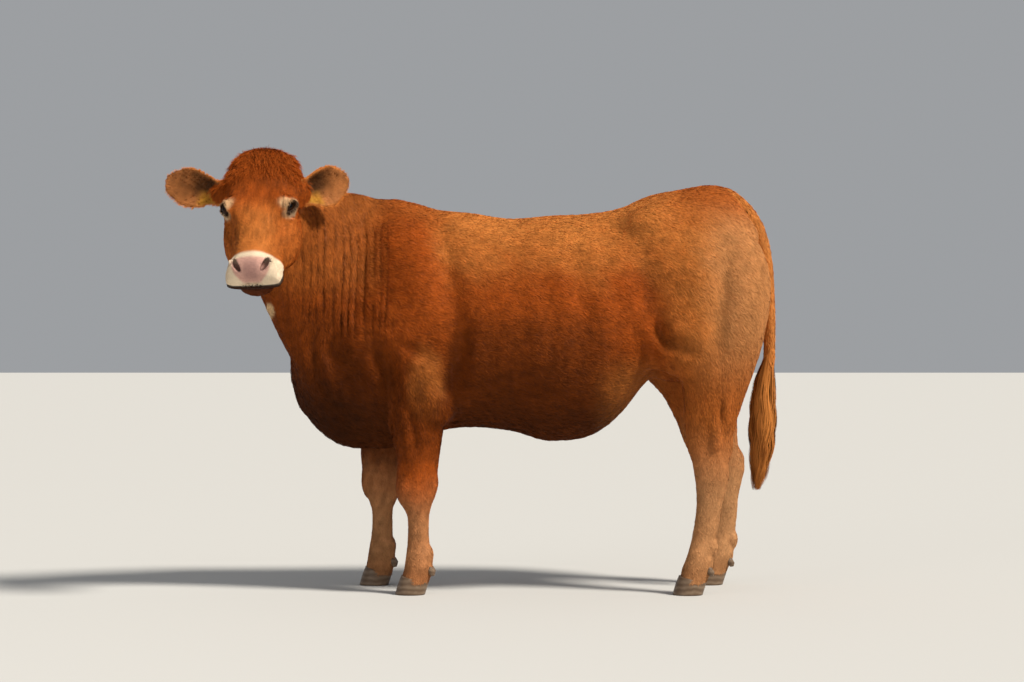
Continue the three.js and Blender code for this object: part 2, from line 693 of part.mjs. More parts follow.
// head, with the muzzle and the lower lip parted from it
const mouthTop = 410; // the muzzle starts this far down the face
const mouthDepth = -124; // the line of the mouth, below the face
const eyeCentre = [98, 210, -44];
const eyeFacing = [0.8, -0.05, 0.6];
const wholeHead = netSolid(body, [-1010, -700, 900], [-640, -200, 1500], 37)
  .intersect(beyond(nape, napeNormal, gap / 2));
const faceEnd = netSolid(body, [-960, -700, 930], [-680, -400, 1250], 25);
let headSolid = wholeHead.subtract(headBox([-150, mouthTop - gap, -260], [150, 560, 60]));
for (const side of [1, -1]) {
  const [s, a, d] = eyeCentre;
  const centre = headPoint(side * s, a, d);
  const opening = headPoint(side * (s + 19 * eyeFacing[0]), a - 1, d + 19 * eyeFacing[2]);
  const turn = headFrame.clone().multiply(new THREE.Matrix4().makeRotationY(side * 0.93));
  headSolid = headSolid.subtract(ball(centre, [1, 1, 1].map(() => eyeRadius + gap), turn, 14, 9));
  headSolid = headSolid.subtract(ball(opening, [13, 20, 16], turn, 12, 7));
}
const upperLip = headBox([-150, mouthTop, mouthDepth + gap / 2], [150, 560, 60]);
const lowerLip = headBox([-150, mouthTop, -260], [150, 560, mouthDepth - gap / 2]);
let muzzleSolid = faceEnd.intersect(upperLip);
for (const side of [1, -1]) {
  const nostril = headPoint(side * 47, 456, -33);
  const turn = headFrame.clone().multiply(new THREE.Matrix4().makeRotationZ(side * 0.55));
  muzzleSolid = muzzleSolid.subtract(ball(nostril, [8, 15, 18], turn, 10, 7));
}

// ears: a cupped leaf on a stalk, parted from the head by a plane across the stalk
const earShape = smoothRows([[0, 0.6], [0.12, 0.585], [0.25, 0.72], [0.42, 0.94], [0.6, 1],
  [0.78, 0.82], [0.9, 0.58], [0.965, 0.36], [1, 0.1]], 8);
const earStart = 0.15;
const earDepth = [[0, 1.25], [0.2, 1.1], [0.5, 0.75], [0.8, 0.35], [1, 0.1]];

function earSolid({ root, along, length, normal, width }) {
  const stations = [earStart, 0.25, 0.37, 0.5, 0.62, 0.74, 0.84, 0.92, 0.97, 1];
  const sides = 5;
  const rings = stations.map((u) => {
    const half = earWidth * rowAt(earShape, u)[1];
    const cup = earCup * rowAt(earDepth, u)[1];
    const bend = 6 * Math.sin(Math.PI * u);
    const thick = earThickness * (1 + 0.6 * clamp(1 - u / 0.25, 0, 1)) * (u === 1 ? 0.5 : 1);
    const ring = [];
    for (const face of [1, -1]) {
      for (let k = 0; k <= sides; k++) {
        const v = face * (1 - 2 * k / sides);
        const w = v * half;
        const middle = cup * (w / earWidth) ** 2 - cup * 0.45 - bend;
        const edge = Math.abs(v) === 1 ? 0.45 : 1;
        ring.push(root.clone().addScaledVector(along, u * length).addScaledVector(width, w)
          .addScaledVector(normal, middle + face * thick * edge).toArray());
      }
    }
    return ring;
  });
  const plane = { point: root.clone().addScaledVector(along, earStart * length), along };
  return { solid: ringSolid(rings), plane };
}

for (const [name, place] of Object.entries(earPlaces)) {
  const { solid, plane } = earSolid(place);
  headSolid = headSolid.subtract(beyond(plane.point, plane.along, -gap, 260, 170));
  add(name, solid, coat, 0.8);
}
add('head', headSolid, coat, 0.8);
add('muzzle', muzzleSolid, '#d9b3a6', 0.45);
add('lower_lip', faceEnd.intersect(lowerLip), '#e2d3c2', 0.7);
for (const [name, side] of [['eye_left', 1], ['eye_right', -1]]) {
  const [s, a, d] = eyeCentre;
  const turn = headFrame.clone();
  add(name, ball(headPoint(side * s, a, d), [eyeRadius, eyeRadius, eyeRadius], turn, 14, 9),
    '#1d120c', 0.1);
}

// legs: each is cut level, and its foot ends on the sloping top of the two claws
const coronetSlope = 0.26;
const coronetLevel = 52; // height of the coronet above the middle of the foot

function footOf(leg) {
  const low = rowAt(leg.rows, 45);
  const middle = (low[1] + low[2]) / 2;
  const normal = new THREE.Vector3(coronetSlope, 0, 1);
  return { x: middle, y: (low[3] + low[4]) / 2, length: low[2] - low[1],
    width: Math.abs(low[4] - low[3]), point: new THREE.Vector3(middle, 0, coronetLevel), normal };
}

// One claw: half of the foot's outline at the coronet, longer and wider at the sole.
function clawSolid(foot, side) {
  const levels = [[0, -17, 1.08, 1.06, 0], [0.5, -9, 1.05, 1.05, 0.5], [1, 0, 0.99, 0.98, 1]];
  const outer = 9;
  const rings = levels.map(([t, shift, long, wide, lift]) => {
    const a = foot.length / 2 * long;
    const b = foot.width / 2 * wide;
    const split = 3 + 2.5 * (1 - t);
    const ring = [];
    for (let k = 0; k <= outer; k++) {
      const angle = Math.PI * k / outer;
      const cosine = Math.cos(angle);
      const x = -a * Math.sign(cosine) * Math.abs(cosine) ** 0.85;
      const y = Math.max(split, b * Math.sin(angle) ** 0.85);
      ring.push([x, y]);
    }
    for (const share of [0.55, 0, -0.55]) ring.push([a * share, split]);
    return ring.map(([x, y]) => {
      const top = coronetLevel - coronetSlope * x - gap;
      return [foot.x + shift + x, foot.y + side * y, lift * (top - coronetSlope * shift)];
    });
  });
  return ringSolid(side > 0 ? rings : rings.map((ring) => ring.slice().reverse()));
}

// Rings on the leg's own surface, from the floor of the piece up to its level top.
function sleeve(leg, floor, top, rings, sides) {
  const made = [];
  for (let r = 0; r <= rings; r++) {
    const t = r / rings;
    const height = (x) => floor(x) + (top - floor(x)) * t;
    const rough = rowAt(leg.rows, 60 * (1 - t) + top * t);
    const row = rowAt(leg.rows, height((rough[1] + rough[2]) / 2));
    const cx = (row[1] + row[2]) / 2;
    const cy = (row[3] + row[4]) / 2;
    made.push(Array.from({ length: sides }, (_, k) => {
      const angle = 2 * Math.PI * k / sides;
      const place = (radius) => {
        const x = cx + radius * Math.cos(angle);
        return [x, cy + radius * Math.sin(angle), height(x)];
      };
      let inner = 0;
      let outer = 140;
      for (let pass = 0; pass < 24; pass++) {
        const middle = (inner + outer) / 2;
        if (leg.distance(...place(middle)) < 0) inner = middle;
        else outer = middle;
      }
      return place(inner);
    }));
  }
  return ringSolid(made);
}

const cuts = { hind: [690, 430, 132], fore: [480, 132] };
const partNames = { hind: ['thigh', 'gaskin', 'cannon', 'pastern'],
  fore: ['forearm', 'cannon', 'pastern'] };
for (const [name, leg] of Object.entries(legs)) {
  const [kind, sideName] = name.split('_');
  const side = sideName === 'left' ? -1 : 1;
  const levels = cuts[kind];
  const foot = footOf(leg);
  const upper = kind === 'hind'
    ? netSolid(body, [360, -360, 600], [940, 360, 1260], 60)
      .intersect(beyond(groin, groinNormal, gap / 2))
      .intersect(box([360, side < 0 ? -360 : gap / 2, levels[0] + gap / 2],
        [940, side < 0 ? -gap / 2 : 360, 1260])).subtract(tailSpace)
    : netSolid(body, [-640, -340, 400], [-100, 340, 720], 44)
      .intersect(box([forearmReach[sideName][0], side < 0 ? -340 : elbowInside + gap,
        levels[0] + gap / 2], [forearmReach[sideName][1],
        side < 0 ? -elbowInside - gap : 340, elbowTop]));
  add(`${kind}_${partNames[kind][0]}_${sideName}`, upper, coat, 0.8);

  const row = rowAt(leg.rows, 78);
  const dewclaws = [-1, 1].map((k) => ({
    centre: new THREE.Vector3(row[2] - 3, foot.y + k * 27, 78),
    turn: new THREE.Matrix4().makeRotationY(-0.5),
    place: k * side > 0 ? 'outer' : 'inner',
  }));
  const spec = { gaskin: [5, 12], cannon: [9, 11], pastern: [3, 11] };
  partNames[kind].slice(1).forEach((part, i) => {
    const high = levels[i] - gap / 2;
    const low = i + 1 < levels.length ? () => levels[i + 1] + gap / 2
      : (x) => coronetLevel - coronetSlope * (x - foot.x);
    let made = sleeve(shapes[name], low, high, ...spec[part]);
    if (part === 'pastern') {
      for (const { centre, turn } of dewclaws) {
        made = made.subtract(ball(centre, [13 + gap, 12 + gap, 19 + gap], turn, 7, 5));
      }
    }
    add(`${kind}_${part}_${sideName}`, made, part === 'pastern' ? '#c99a68' : coat, 0.8);
  });
  for (const { centre, turn, place } of dewclaws) {
    add(`${kind}_dewclaw_${sideName}_${place}`, ball(centre, [13, 12, 19], turn, 7, 5),
      '#3a2a20', 0.5);
  }
  for (const [place, k] of [['outer', side], ['inner', -side]]) {
    add(`${kind}_claw_${sideName}_${place}`, clawSolid(foot, k), '#6b4f3a', 0.45);
  }
}

add('tail', tailSolid, coat, 0.8);
const tailEnd = tail[tail.length - 1];
const switchTop = [[...tailEnd], [...tailEnd]];
switchTop[0][2] -= gap;
switchTop[1][2] -= 20;
const switchRows = [...switchTop, ...tailSwitch.slice(1)];
add('tail_switch', tailTube(switchRows, 12), '#c08a4e', 0.85);

// the origin is the middle of the footprint of the whole, on the ground
const bounds = new THREE.Box3().setFromObject(group);
group.position.set(-(bounds.min.x + bounds.max.x) / 2, -(bounds.min.y + bounds.max.y) / 2,
  -bounds.min.z);

export default group;
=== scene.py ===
import math
import time
from concurrent.futures import ThreadPoolExecutor

import bpy
import numpy as np
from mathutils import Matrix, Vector


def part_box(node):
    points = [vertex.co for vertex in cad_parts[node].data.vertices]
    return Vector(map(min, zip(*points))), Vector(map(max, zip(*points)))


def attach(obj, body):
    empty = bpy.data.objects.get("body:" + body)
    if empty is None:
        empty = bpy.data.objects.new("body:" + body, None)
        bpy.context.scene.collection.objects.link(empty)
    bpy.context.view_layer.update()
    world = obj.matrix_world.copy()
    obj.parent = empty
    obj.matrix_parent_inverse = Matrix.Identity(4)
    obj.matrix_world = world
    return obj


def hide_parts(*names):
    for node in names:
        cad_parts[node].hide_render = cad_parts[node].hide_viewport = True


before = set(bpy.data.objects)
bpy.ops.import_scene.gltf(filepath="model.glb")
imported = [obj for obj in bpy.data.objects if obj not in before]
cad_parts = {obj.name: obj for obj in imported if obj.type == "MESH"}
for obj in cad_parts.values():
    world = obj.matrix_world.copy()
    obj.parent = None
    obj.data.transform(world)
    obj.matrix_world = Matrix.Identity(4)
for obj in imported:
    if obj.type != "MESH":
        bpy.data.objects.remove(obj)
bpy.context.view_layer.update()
startedAt = time.time()


def say(stage):
    print(f"[cow] {stage} at {time.time() - startedAt:.0f} s", flush=True)


def vec(*numbers):
    return np.array(numbers, float)


def unit(v):
    v = np.asarray(v, float)
    return v / np.maximum(np.linalg.norm(v, axis=-1, keepdims=True), 1e-9)


def smooth(x, low, high):  # 0 below low, 1 above high, eased between
    t = np.clip((x - low) / (high - low), 0, 1)
    return t * t * (3 - 2 * t)


# The shape is kept in millimetres on the animal's own axes: X from head to tail, Y to its right side, Z up.
head = {"tilt": 38, "yaw": 6, "roll": 2, "centre": vec(-820, -465, 1304)}
eye = {"radius": 20, "place": (98, 210, -44), "facing": (0.66, 0.33, 0.67), "long": (-0.50, 0.86, 0.06),
       "opening": (19, 12)}


def headAxes():
    tilt, yaw, roll = (math.radians(head[k]) for k in ("tilt", "yaw", "roll"))
    forward = vec(-math.sin(yaw), -math.cos(yaw), 0)
    up = vec(0, 0, 1)
    down = math.sin(tilt) * forward - math.cos(tilt) * up
    out = math.cos(tilt) * forward + math.sin(tilt) * up
    across = math.cos(roll) * vec(math.cos(yaw), -math.sin(yaw), 0) + math.sin(roll) * up
    down = unit(down - across * (down @ across))
    side = np.cross(across, down)
    return np.stack([across, down, side if side @ out > 0 else -side], 1)


headTurn = headAxes()


def headPoint(across, down, out):  # from the head's own axes: across, down the face from the poll, out of it
    return head["centre"] + headTurn @ vec(across, down - 200, out)


def toHead(points):
    q = (points - head["centre"]) @ headTurn
    q[:, 1] += 200
    return q


# x, y, top, bottom, half width, level of the widest part, squareness above and below it
trunkRows = [
    (-742, 0, 800, 705, 24, 742, 2.0, 1.8), (-722, 0, 868, 632, 66, 745, 2.0, 1.7),
    (-685, 0, 940, 575, 108, 748, 2.0, 1.6), (-610, 0, 1062, 506, 160, 775, 2.0, 1.6),
    (-520, 0, 1200, 480, 204, 822, 1.9, 1.7), (-440, 0, 1285, 478, 234, 860, 1.8, 1.9),
    (-360, 0, 1306, 500, 254, 880, 1.75, 2.1), (-250, 0, 1280, 535, 268, 885, 1.9, 2.3),
    (-140, 0, 1268, 548, 285, 875, 2.1, 2.3), (0, 0, 1249, 535, 303, 860, 2.2, 2.2),
    (130, 0, 1260, 503, 318, 845, 2.2, 2.1), (260, 0, 1267, 520, 314, 860, 2.2, 2.1),
    (360, 0, 1284, 590, 290, 900, 2.3, 2.1), (460, 0, 1325, 712, 262, 980, 2.4, 2.1),
    (560, 0, 1345, 760, 240, 1020, 2.4, 2.2), (660, 0, 1360, 750, 218, 1020, 2.3, 2.2),
    (740, 0, 1328, 745, 185, 1010, 2.1, 2.2), (795, 0, 1250, 790, 140, 1010, 2.0, 2.2),
    (825, 0, 1150, 860, 85, 1000, 2.0, 2.0), (838, 0, 1090, 910, 20, 1000, 2.0, 2.0),
]
neckRows = [
    (-400, 0, 1290, 520, 150, 900, 1.7, 2.0), (-500, -12, 1328, 520, 168, 900, 1.7, 1.8),
    (-600, -62, 1338, 568, 158, 960, 1.7, 1.7), (-680, -130, 1350, 700, 140, 1040, 1.8, 1.6),
    (-738, -205, 1376, 830, 122, 1130, 1.9, 1.6), (-772, -280, 1375, 950, 104, 1190, 2.0, 1.8),
    (-792, -345, 1340, 1075, 78, 1215, 2.0, 2.0),
]
# z, front, back, outer side, inner side, squareness, for the left legs
hindRows = [
    (1275, 500, 720, -100, -150, 2.0), (1230, 470, 755, -80, -205, 2.0), (1150, 450, 792, -60, -252, 2.1),
    (1050, 445, 826, -45, -272, 2.3), (975, 450, 836, -38, -277, 2.3), (842, 500, 832, -40, -268, 2.2),
    (737, 550, 802, -62, -250, 2.1), (644, 566, 768, -95, -236, 2.1), (564, 571, 741, -118, -224, 2.1),
    (485, 580, 724, -130, -216, 2.2), (438, 596, 716, -134, -218, 2.3), (400, 603, 716, -136, -218, 2.3),
    (356, 609, 710, -140, -212, 2.2), (300, 611, 696, -146, -206, 2.1), (250, 606, 688, -148, -204, 2.1),
    (170, 592, 672, -146, -206, 2.1), (120, 578, 667, -134, -218, 2.2), (90, 566, 662, -130, -221, 2.2),
    (60, 558, 650, -130, -222, 2.2), (35, 548, 640, -126, -226, 2.2),
]
farHindEdges = [
    (500, 720), (470, 755), (450, 792), (445, 826), (445, 836), (470, 832), (448, 812), (518, 790), (560, 772),
    (592, 774), (618, 795), (640, 797), (668, 788), (692, 776), (694, 772), (684, 764), (670, 760), (658, 756),
    (648, 742), (638, 732),
]
foreRows = [
    (1010, -470, -330, -120, -200, 2.0), (950, -500, -290, -100, -238, 2.0), (860, -500, -240, -85, -254, 2.1),
    (760, -478, -208, -80, -254, 2.2), (644, -425, -202, -82, -242, 2.2), (545, -403, -226, -95, -230, 2.1),
    (459, -382, -240, -104, -218, 2.1), (378, -377, -250, -110, -212, 2.2), (337, -374, -252, -110, -214, 2.3),
    (297, -364, -266, -115, -210, 2.3), (257, -346, -275, -125, -200, 2.1), (218, -344, -276, -128, -197, 2.1),
    (160, -346, -273, -126, -198, 2.1), (119, -351, -266, -118, -206, 2.2), (85, -356, -263, -115, -210, 2.3),
    (55, -364, -272, -114, -212, 2.3), (35, -370, -278, -112, -214, 2.2),
]
farForeShift = [0, 0, -10, -25, -60, -110, -136, -132, -130, -128, -134, -134, -136, -138, -138, -136, -134]
farHindRows = [(r[0], *edges, -r[3], -r[4], r[5]) for r, edges in zip(hindRows, farHindEdges)]
farForeRows = [(r[0], r[1] + s, r[2] + s, -r[3], -r[4], r[5]) for r, s in zip(foreRows, farForeShift)]
# x, y, z, radius sideways, radius the other way
tailRows = [
    (650, 0, 1322, 52, 30), (712, 0, 1318, 46, 34), (765, 0, 1286, 37, 32), (806, 0, 1238, 32, 30),
    (834, 0, 1176, 28, 27), (852, 0, 1100, 25, 24), (862, 0, 1000, 22, 22), (867, 0, 900, 21, 20),
    (867, 0, 800, 20, 19), (861, 0, 720, 16, 15), (855, 0, 640, 12, 11), (850, 0, 560, 8, 8),
]
# down the face, top, bottom, half width, level of the widest part, squareness above and below
skullRows = [
    (-30, -60, -120, 56, -90, 2.0, 2.0), (-12, -22, -150, 84, -80, 1.9, 2.0), (15, -2, -175, 106, -70, 1.9, 2.0),
    (60, 8, -200, 119, -68, 2.1, 2.0), (120, 6, -215, 114, -70, 2.3, 2.0), (180, 0, -225, 110, -72, 2.4, 2.0),
    (240, -6, -215, 103, -85, 2.3, 2.1), (300, -10, -200, 93, -100, 2.1, 2.2), (360, -12, -180, 82, -100, 2.0, 2.2),
    (410, -14, -160, 74, -95, 2.0, 2.1), (440, -26, -152, 70, -90, 2.2, 2.1), (462, -50, -146, 62, -95, 2.2, 2.2),
]
jawRows = [
    (110, -90, -205, 66, -150, 2.0, 2.0), (150, -82, -228, 92, -150, 2.2, 2.0), (200, -76, -242, 108, -152, 2.3, 2.0),
    (255, -76, -240, 114, -154, 2.3, 2.0), (310, -84, -226, 104, -152, 2.2, 2.0),
    (360, -92, -206, 86, -150, 2.1, 2.0), (410, -100, -188, 66, -146, 2.1, 2.1),
    (442, -110, -180, 57, -148, 2.2, 2.2), (462, -122, -174, 47, -150, 2.2, 2.2),
    (474, -134, -166, 26, -150, 2.0, 2.0),
]
muzzleRows = [
    (372, -16, -120, 62, -88, 2.1, 2.3), (405, -10, -132, 72, -98, 2.2, 2.5), (430, -10, -134, 84, -102, 2.3, 2.8),
    (452, -18, -132, 91, -106, 2.4, 3.0), (470, -36, -127, 89, -104, 2.4, 3.2), (482, -58, -120, 76, -98, 2.3, 2.8),
    (487, -76, -108, 44, -94, 2.0, 2.0),
]
# place, radii, blend, turn in degrees, 1 where it is hollowed out; each is mirrored on the right side
bodyForms = {
    "hook bone": ((470, 180, 1225), (62, 38, 42), 80, (0, 0, 0), 0),
    "pin bone": ((768, 92, 1190), (50, 38, 50), 60, (0, 0, 0), 0),
    "back of the thigh": ((735, 180, 1000), (108, 86, 190), 60, (0, 8, 0), 0),
    "stifle": ((570, 210, 850), (78, 50, 98), 70, (0, 0, 0), 0),
    "fold of the flank": ((505, 170, 808), (84, 32, 70), 60, (0, 24, 0), 0),
    "hollow in front of the hook": ((400, 330, 1180), (85, 52, 58), 60, (0, 0, 0), 1),
    "shoulder blade": ((-335, 170, 1040), (95, 54, 170), 90, (14, -18, 0), 0),
    "point of the shoulder": ((-515, 142, 830), (70, 62, 84), 80, (0, 0, 0), 0),
    "elbow": ((-240, 212, 640), (46, 34, 58), 50, (0, 0, 0), 0),
    "crease behind the elbow": ((-176, 300, 770), (30, 42, 140), 50, (0, 4, 0), 1),
    "crease in front of the arm": ((-400, 274, 720), (28, 40, 110), 50, (0, -14, 0), 1),
    "udder": ((540, 40, 752), (86, 46, 50), 40, (0, 0, 0), 0),
}
legForms = [  # leg, place on the left side, radii, blend, turn
    ("hind", (706, -176, 484), (20, 20, 38), 22, (0, 8, 0)), ("hind", (688, -138, 560), (14, 14, 80), 24, (0, 14, 0)),
    ("hind", (688, -222, 560), (14, 14, 80), 24, (0, 14, 0)),
    ("fore", (-361, -162, 352), (18, 36, 44), 26, (0, 0, 0)),
    ("fore", (-262, -162, 372), (14, 18, 26), 18, (0, 0, 0)),
    ("fore", (-278, -162, 135), (14, 32, 22), 18, (0, 0, 0)), ("hind", (666, -176, 155), (14, 32, 24), 18, (0, 0, 0)),
]
headForms = {
    "poll": ((0, 20, -42), (90, 50, 46), 30, (0, 0, 0), 0),
    "brow": ((88, 200, -42), (36, 56, 38), 40, (0, 0, 0), 0),
    "cheek": ((84, 248, -146), (36, 96, 74), 34, (0, 0, 0), 0),
    "root of the ear": ((96, 104, -92), (44, 50, 46), 30, (0, 0, 0), 0),
    "lids": ((98, 210, -44), (25, 26, 25), 12, (0, 0, 0), 0),
    "side of the lip": ((62, 416, -102), (28, 44, 30), 20, (0, 0, 0), 0),
    "temple": ((124, 150, -6), (26, 46, 26), 30, (0, 0, 12), 1),
    "beside the nose bone": ((100, 300, -34), (22, 70, 22), 40, (0, 0, 8), 1),
}


def easedRows(rows, steps):  # rows filled in between with eased curves that don't overshoot
    rows = np.array(rows, float)
    t, count = rows[:, 0], len(rows)
    slope = (rows[1:] - rows[:-1]) / (t[1:] - t[:-1])[:, None]
    tangent = np.zeros_like(rows)
    tangent[0], tangent[-1] = slope[0], slope[-1]
    for i in range(1, count - 1):
        w = (t[i] - t[i - 1]) / (t[i + 1] - t[i - 1])
        limit = 3 * np.minimum(abs(slope[i - 1]), abs(slope[i]))
        mixed = np.clip(slope[i - 1] * (1 - w) + slope[i] * w, -limit, limit)
        tangent[i] = np.where(np.sign(slope[i - 1]) == np.sign(slope[i]), mixed, 0)
    made = []
    for i in range(count - 1):
        h = t[i + 1] - t[i]
        for s in np.arange(steps) / steps:
            row = ((2 * s**3 - 3 * s**2 + 1) * rows[i] + (s**3 - 2 * s**2 + s) * h * tangent[i]
                   + (3 * s**2 - 2 * s**3) * rows[i + 1] + (s**3 - s**2) * h * tangent[i + 1])
            row[0] = t[i] + h * s
            made.append(row)
    return np.array(made + [rows[-1]])


def sectionDistance(u, v, halfU, halfV, power):  # about the distance to an oval whose corners fill out with power
    a = np.maximum(np.abs(u) / halfU, 1e-4)
    b = np.maximum(np.abs(v) / halfV, 1e-4)
    rho = (a**power + b**power) ** (1 / power)
    slope = rho ** (1 - power) * np.sqrt((a ** (power - 1) / halfU) ** 2 + (b ** (power - 1) / halfV) ** 2)
    return (rho - 1) / np.maximum(slope, 1 / np.maximum(halfU, halfV))


def softMin(a, b, blend):
    h = np.maximum(blend - np.abs(a - b), 0) / blend
    return np.minimum(a, b) - h * h * blend / 4


def form(low, high, blend, distance, carve=False, rows=None):
    return {"low": np.asarray(low, float), "high": np.asarray(high, float), "blend": blend,
            "distance": distance, "carve": carve, "rows": rows}


def capped(f, beyond):  # a loft's distance past its two ends
    return np.where(beyond > 0.5, np.hypot(np.maximum(f, 0), beyond), f)


def rowDistance(row, side, height):  # a row is top, bottom, half width, level, squareness above and below
    top, bottom, half, level, above, below = row
    up = height > level
    return sectionDistance(side, height - level, half, np.where(up, top - level, level - bottom),
                           np.where(up, above, below))


def trunkLoft(rows, blend):
    d = easedRows(rows, 6)

    def distance(p):
        x = np.clip(p[:, 0], d[0, 0], d[-1, 0])
        row = [np.interp(x, d[:, 0], d[:, j]) for j in range(2, 8)]
        return capped(rowDistance(row, p[:, 1], p[:, 2]), np.abs(p[:, 0] - x))

    wide = d[:, 4].max()
    return form((d[0, 0], -wide, d[:, 3].min()), (d[-1, 0], wide, d[:, 2].max()), blend, distance)


def alongPath(p, path):  # nearest place on a flat path: row index with fraction, side distance, distance past an end
    best = np.full(len(p), 1e18)
    place, side, beyond = np.zeros(len(p)), np.zeros(len(p)), np.zeros(len(p))
    last = len(path) - 2
    for i in range(len(path) - 1):
        start, step = path[i], path[i + 1] - path[i]
        length = np.hypot(*step)
        step = step / length
        q = p - start
        ahead = q @ step
        t = np.clip(ahead / length, 0, 1)
        off = q[:, 1] * step[0] - q[:, 0] * step[1]
        past = ahead - t * length
        square = off * off + past * past
        near = square < best - 1e-9
        best = np.where(near, square, best)
        atEnd = ((i == 0) & (ahead < 0)) | ((i == last) & (ahead > length))
        place = np.where(near, i + t, place)
        side = np.where(near, np.where(atEnd, off, np.sign(off) * np.sqrt(square)), side)
        beyond = np.where(near, np.where(atEnd, past, 0), beyond)
    return place, side, beyond


def neckLoft(rows, blend):
    rows = np.array(rows, float)
    length = np.r_[0, np.cumsum(np.hypot(*(rows[1:, :2] - rows[:-1, :2]).T))]
    d = easedRows(np.c_[length, rows], 6)
    index = np.arange(len(d))

    def distance(p):
        place, side, beyond = alongPath(p[:, :2], d[:, 1:3])
        row = [np.interp(place, index, d[:, j]) for j in range(3, 9)]
        return capped(rowDistance(row, side, p[:, 2]), np.abs(beyond))

    wide = d[:, 5].max()
    low = (d[:, 1].min() - wide, d[:, 2].min() - wide, d[:, 4].min())
    high = (d[:, 1].max() + wide, d[:, 2].max() + wide, d[:, 3].max())
    return form(low, high, blend, distance, rows=d)


def legLoft(rows, blend):
    d = easedRows(sorted(rows), 6)

    def distance(p):
        z = np.clip(p[:, 2], d[0, 0], d[-1, 0])
        front, back, one, other, power = (np.interp(z, d[:, 0], d[:, j]) for j in range(1, 6))
        f = sectionDistance(p[:, 0] - (front + back) / 2, p[:, 1] - (one + other) / 2,
                            np.abs(back - front) / 2, np.abs(other - one) / 2, power)
        return capped(f, np.abs(p[:, 2] - z))

    low = (d[:, 1:3].min(), d[:, 3:5].min(), d[0, 0])
    return form(low, (d[:, 1:3].max(), d[:, 3:5].max(), d[-1, 0]), blend, distance, rows=d)


def tailLoft(rows, blend):
    rows = np.array(rows, float)
    length = np.r_[0, np.cumsum(np.linalg.norm(rows[1:, :3] - rows[:-1, :3], axis=1))]
    d = easedRows(np.c_[length, rows], 4)
    index = np.arange(len(d))

    def distance(p):
        place, side, beyond = alongPath(p[:, [0, 2]], d[:, [1, 3]])
        wide, thick = (np.interp(place, index, d[:, j]) for j in (4, 5))
        return capped(sectionDistance(p[:, 1], side, wide, thick, 2.0), np.abs(beyond))

    r = d[:, 4:6].max()
    return form(d[:, 1:4].min(0) - r, d[:, 1:4].max(0) + r, blend, distance, rows=d)


def headLoft(rows, blend):
    d = easedRows(rows, 6)

    def distance(p):
        q = toHead(p)
        a = np.clip(q[:, 1], d[0, 0], d[-1, 0])
        row = [np.interp(a, d[:, 0], d[:, j]) for j in range(1, 7)]
        return capped(rowDistance(row, q[:, 0], q[:, 2]), np.abs(q[:, 1] - a))

    corners = np.array([headPoint(s * r[3], r[0], o) for r in d for s in (-1, 1) for o in (r[1], r[2])])
    return form(corners.min(0) - 10, corners.max(0) + 10, blend, distance)


def turned(x, y, z):
    x, y, z = (math.radians(a) for a in (x, y, z))
    turnX = np.array([[1, 0, 0], [0, math.cos(x), -math.sin(x)], [0, math.sin(x), math.cos(x)]])
    turnY = np.array([[math.cos(y), 0, math.sin(y)], [0, 1, 0], [-math.sin(y), 0, math.cos(y)]])
    turnZ = np.array([[math.cos(z), -math.sin(z), 0], [math.sin(z), math.cos(z), 0], [0, 0, 1]])
    return turnZ @ turnY @ turnX


def ball(centre, radii, turn=(0, 0, 0), blend=20, carve=False, axes=np.eye(3)):
    centre, radii, axes = vec(*centre), vec(*radii), axes @ turned(*turn)

    def distance(p):
        q = (p - centre) @ axes
        k0 = np.linalg.norm(q / radii, axis=1)
        k1 = np.linalg.norm(q / radii**2, axis=1)
        return np.where(k1 > 1e-9, k0 * (k0 - 1) / np.maximum(k1, 1e-9), -radii.min())

    return form(centre - radii.max(), centre + radii.max(), blend, distance, carve)


ears = {
    "width": 67, "thickness": 4.5, "cup": 34,
    "outline": [(0, 0.60), (0.12, 0.585), (0.25, 0.72), (0.42, 0.94), (0.6, 1.0), (0.78, 0.82), (0.9, 0.58),
                (0.965, 0.36), (1, 0.10)],
    # the root, the tip, and the way that the cup opens
    "right": ((-928.4, -345, 1315.6), (-1131.9, -300, 1358.1), (-0.15, -1, -0.12)),
    "left": ((-692.4, -375, 1314.5), (-535.5, -262, 1367.9), (0.45, -0.9, -0.12)),
}
earOutline = easedRows(ears["outline"], 8)
earFrames = {}
for side in ("right", "left"):
    root, tip, opening = (vec(*v) for v in ears[side])
    length = np.linalg.norm(tip - root)
    along = (tip - root) / length
    out = unit(opening - along * (along @ opening))
    earFrames[side] = {"root": root, "length": length, "axes": np.stack([along, np.cross(out, along), out], 1)}


def earReach(share):  # half the ear's width at a share of its length
    return ears["width"] * np.interp(share, earOutline[:, 0], earOutline[:, 1])


def earLeaf(side, blend):  # a cupped leaf, deepest near the root
    own = earFrames[side]

    def distance(p):
        q = (p - own["root"]) @ own["axes"]
        u = q[:, 0] / own["length"]
        held = np.clip(u, 0, 1)
        half = earReach(held)
        cup = ears["cup"] * np.interp(held, [0, 0.2, 0.5, 0.8, 1], [1.25, 1.1, 0.75, 0.35, 0.1])
        share = np.abs(q[:, 1]) / ears["width"]
        leaf = cup * np.clip(share, 0, 1.2) ** 2 - cup * 0.45 - 6 * np.sin(held * math.pi)
        slope = 2 * cup * share / ears["width"]
        thick = ears["thickness"] * (1 + 0.6 * np.clip(1 - u / 0.25, 0, 1))
        f = -softMin(thick - np.abs(q[:, 2] - leaf) / np.sqrt(1 + slope**2), half - np.abs(q[:, 1]), 8)
        past = np.maximum(np.maximum(q[:, 0] - own["length"], -q[:, 0]), 0)
        return np.where(past > 0, np.hypot(np.maximum(f, 0), past), f)

    ends = np.array([own["root"], own["root"] + own["axes"][:, 0] * own["length"]])
    reach = ears["width"] + ears["cup"] + 10
    return form(ends.min(0) - reach, ends.max(0) + reach, blend, distance)


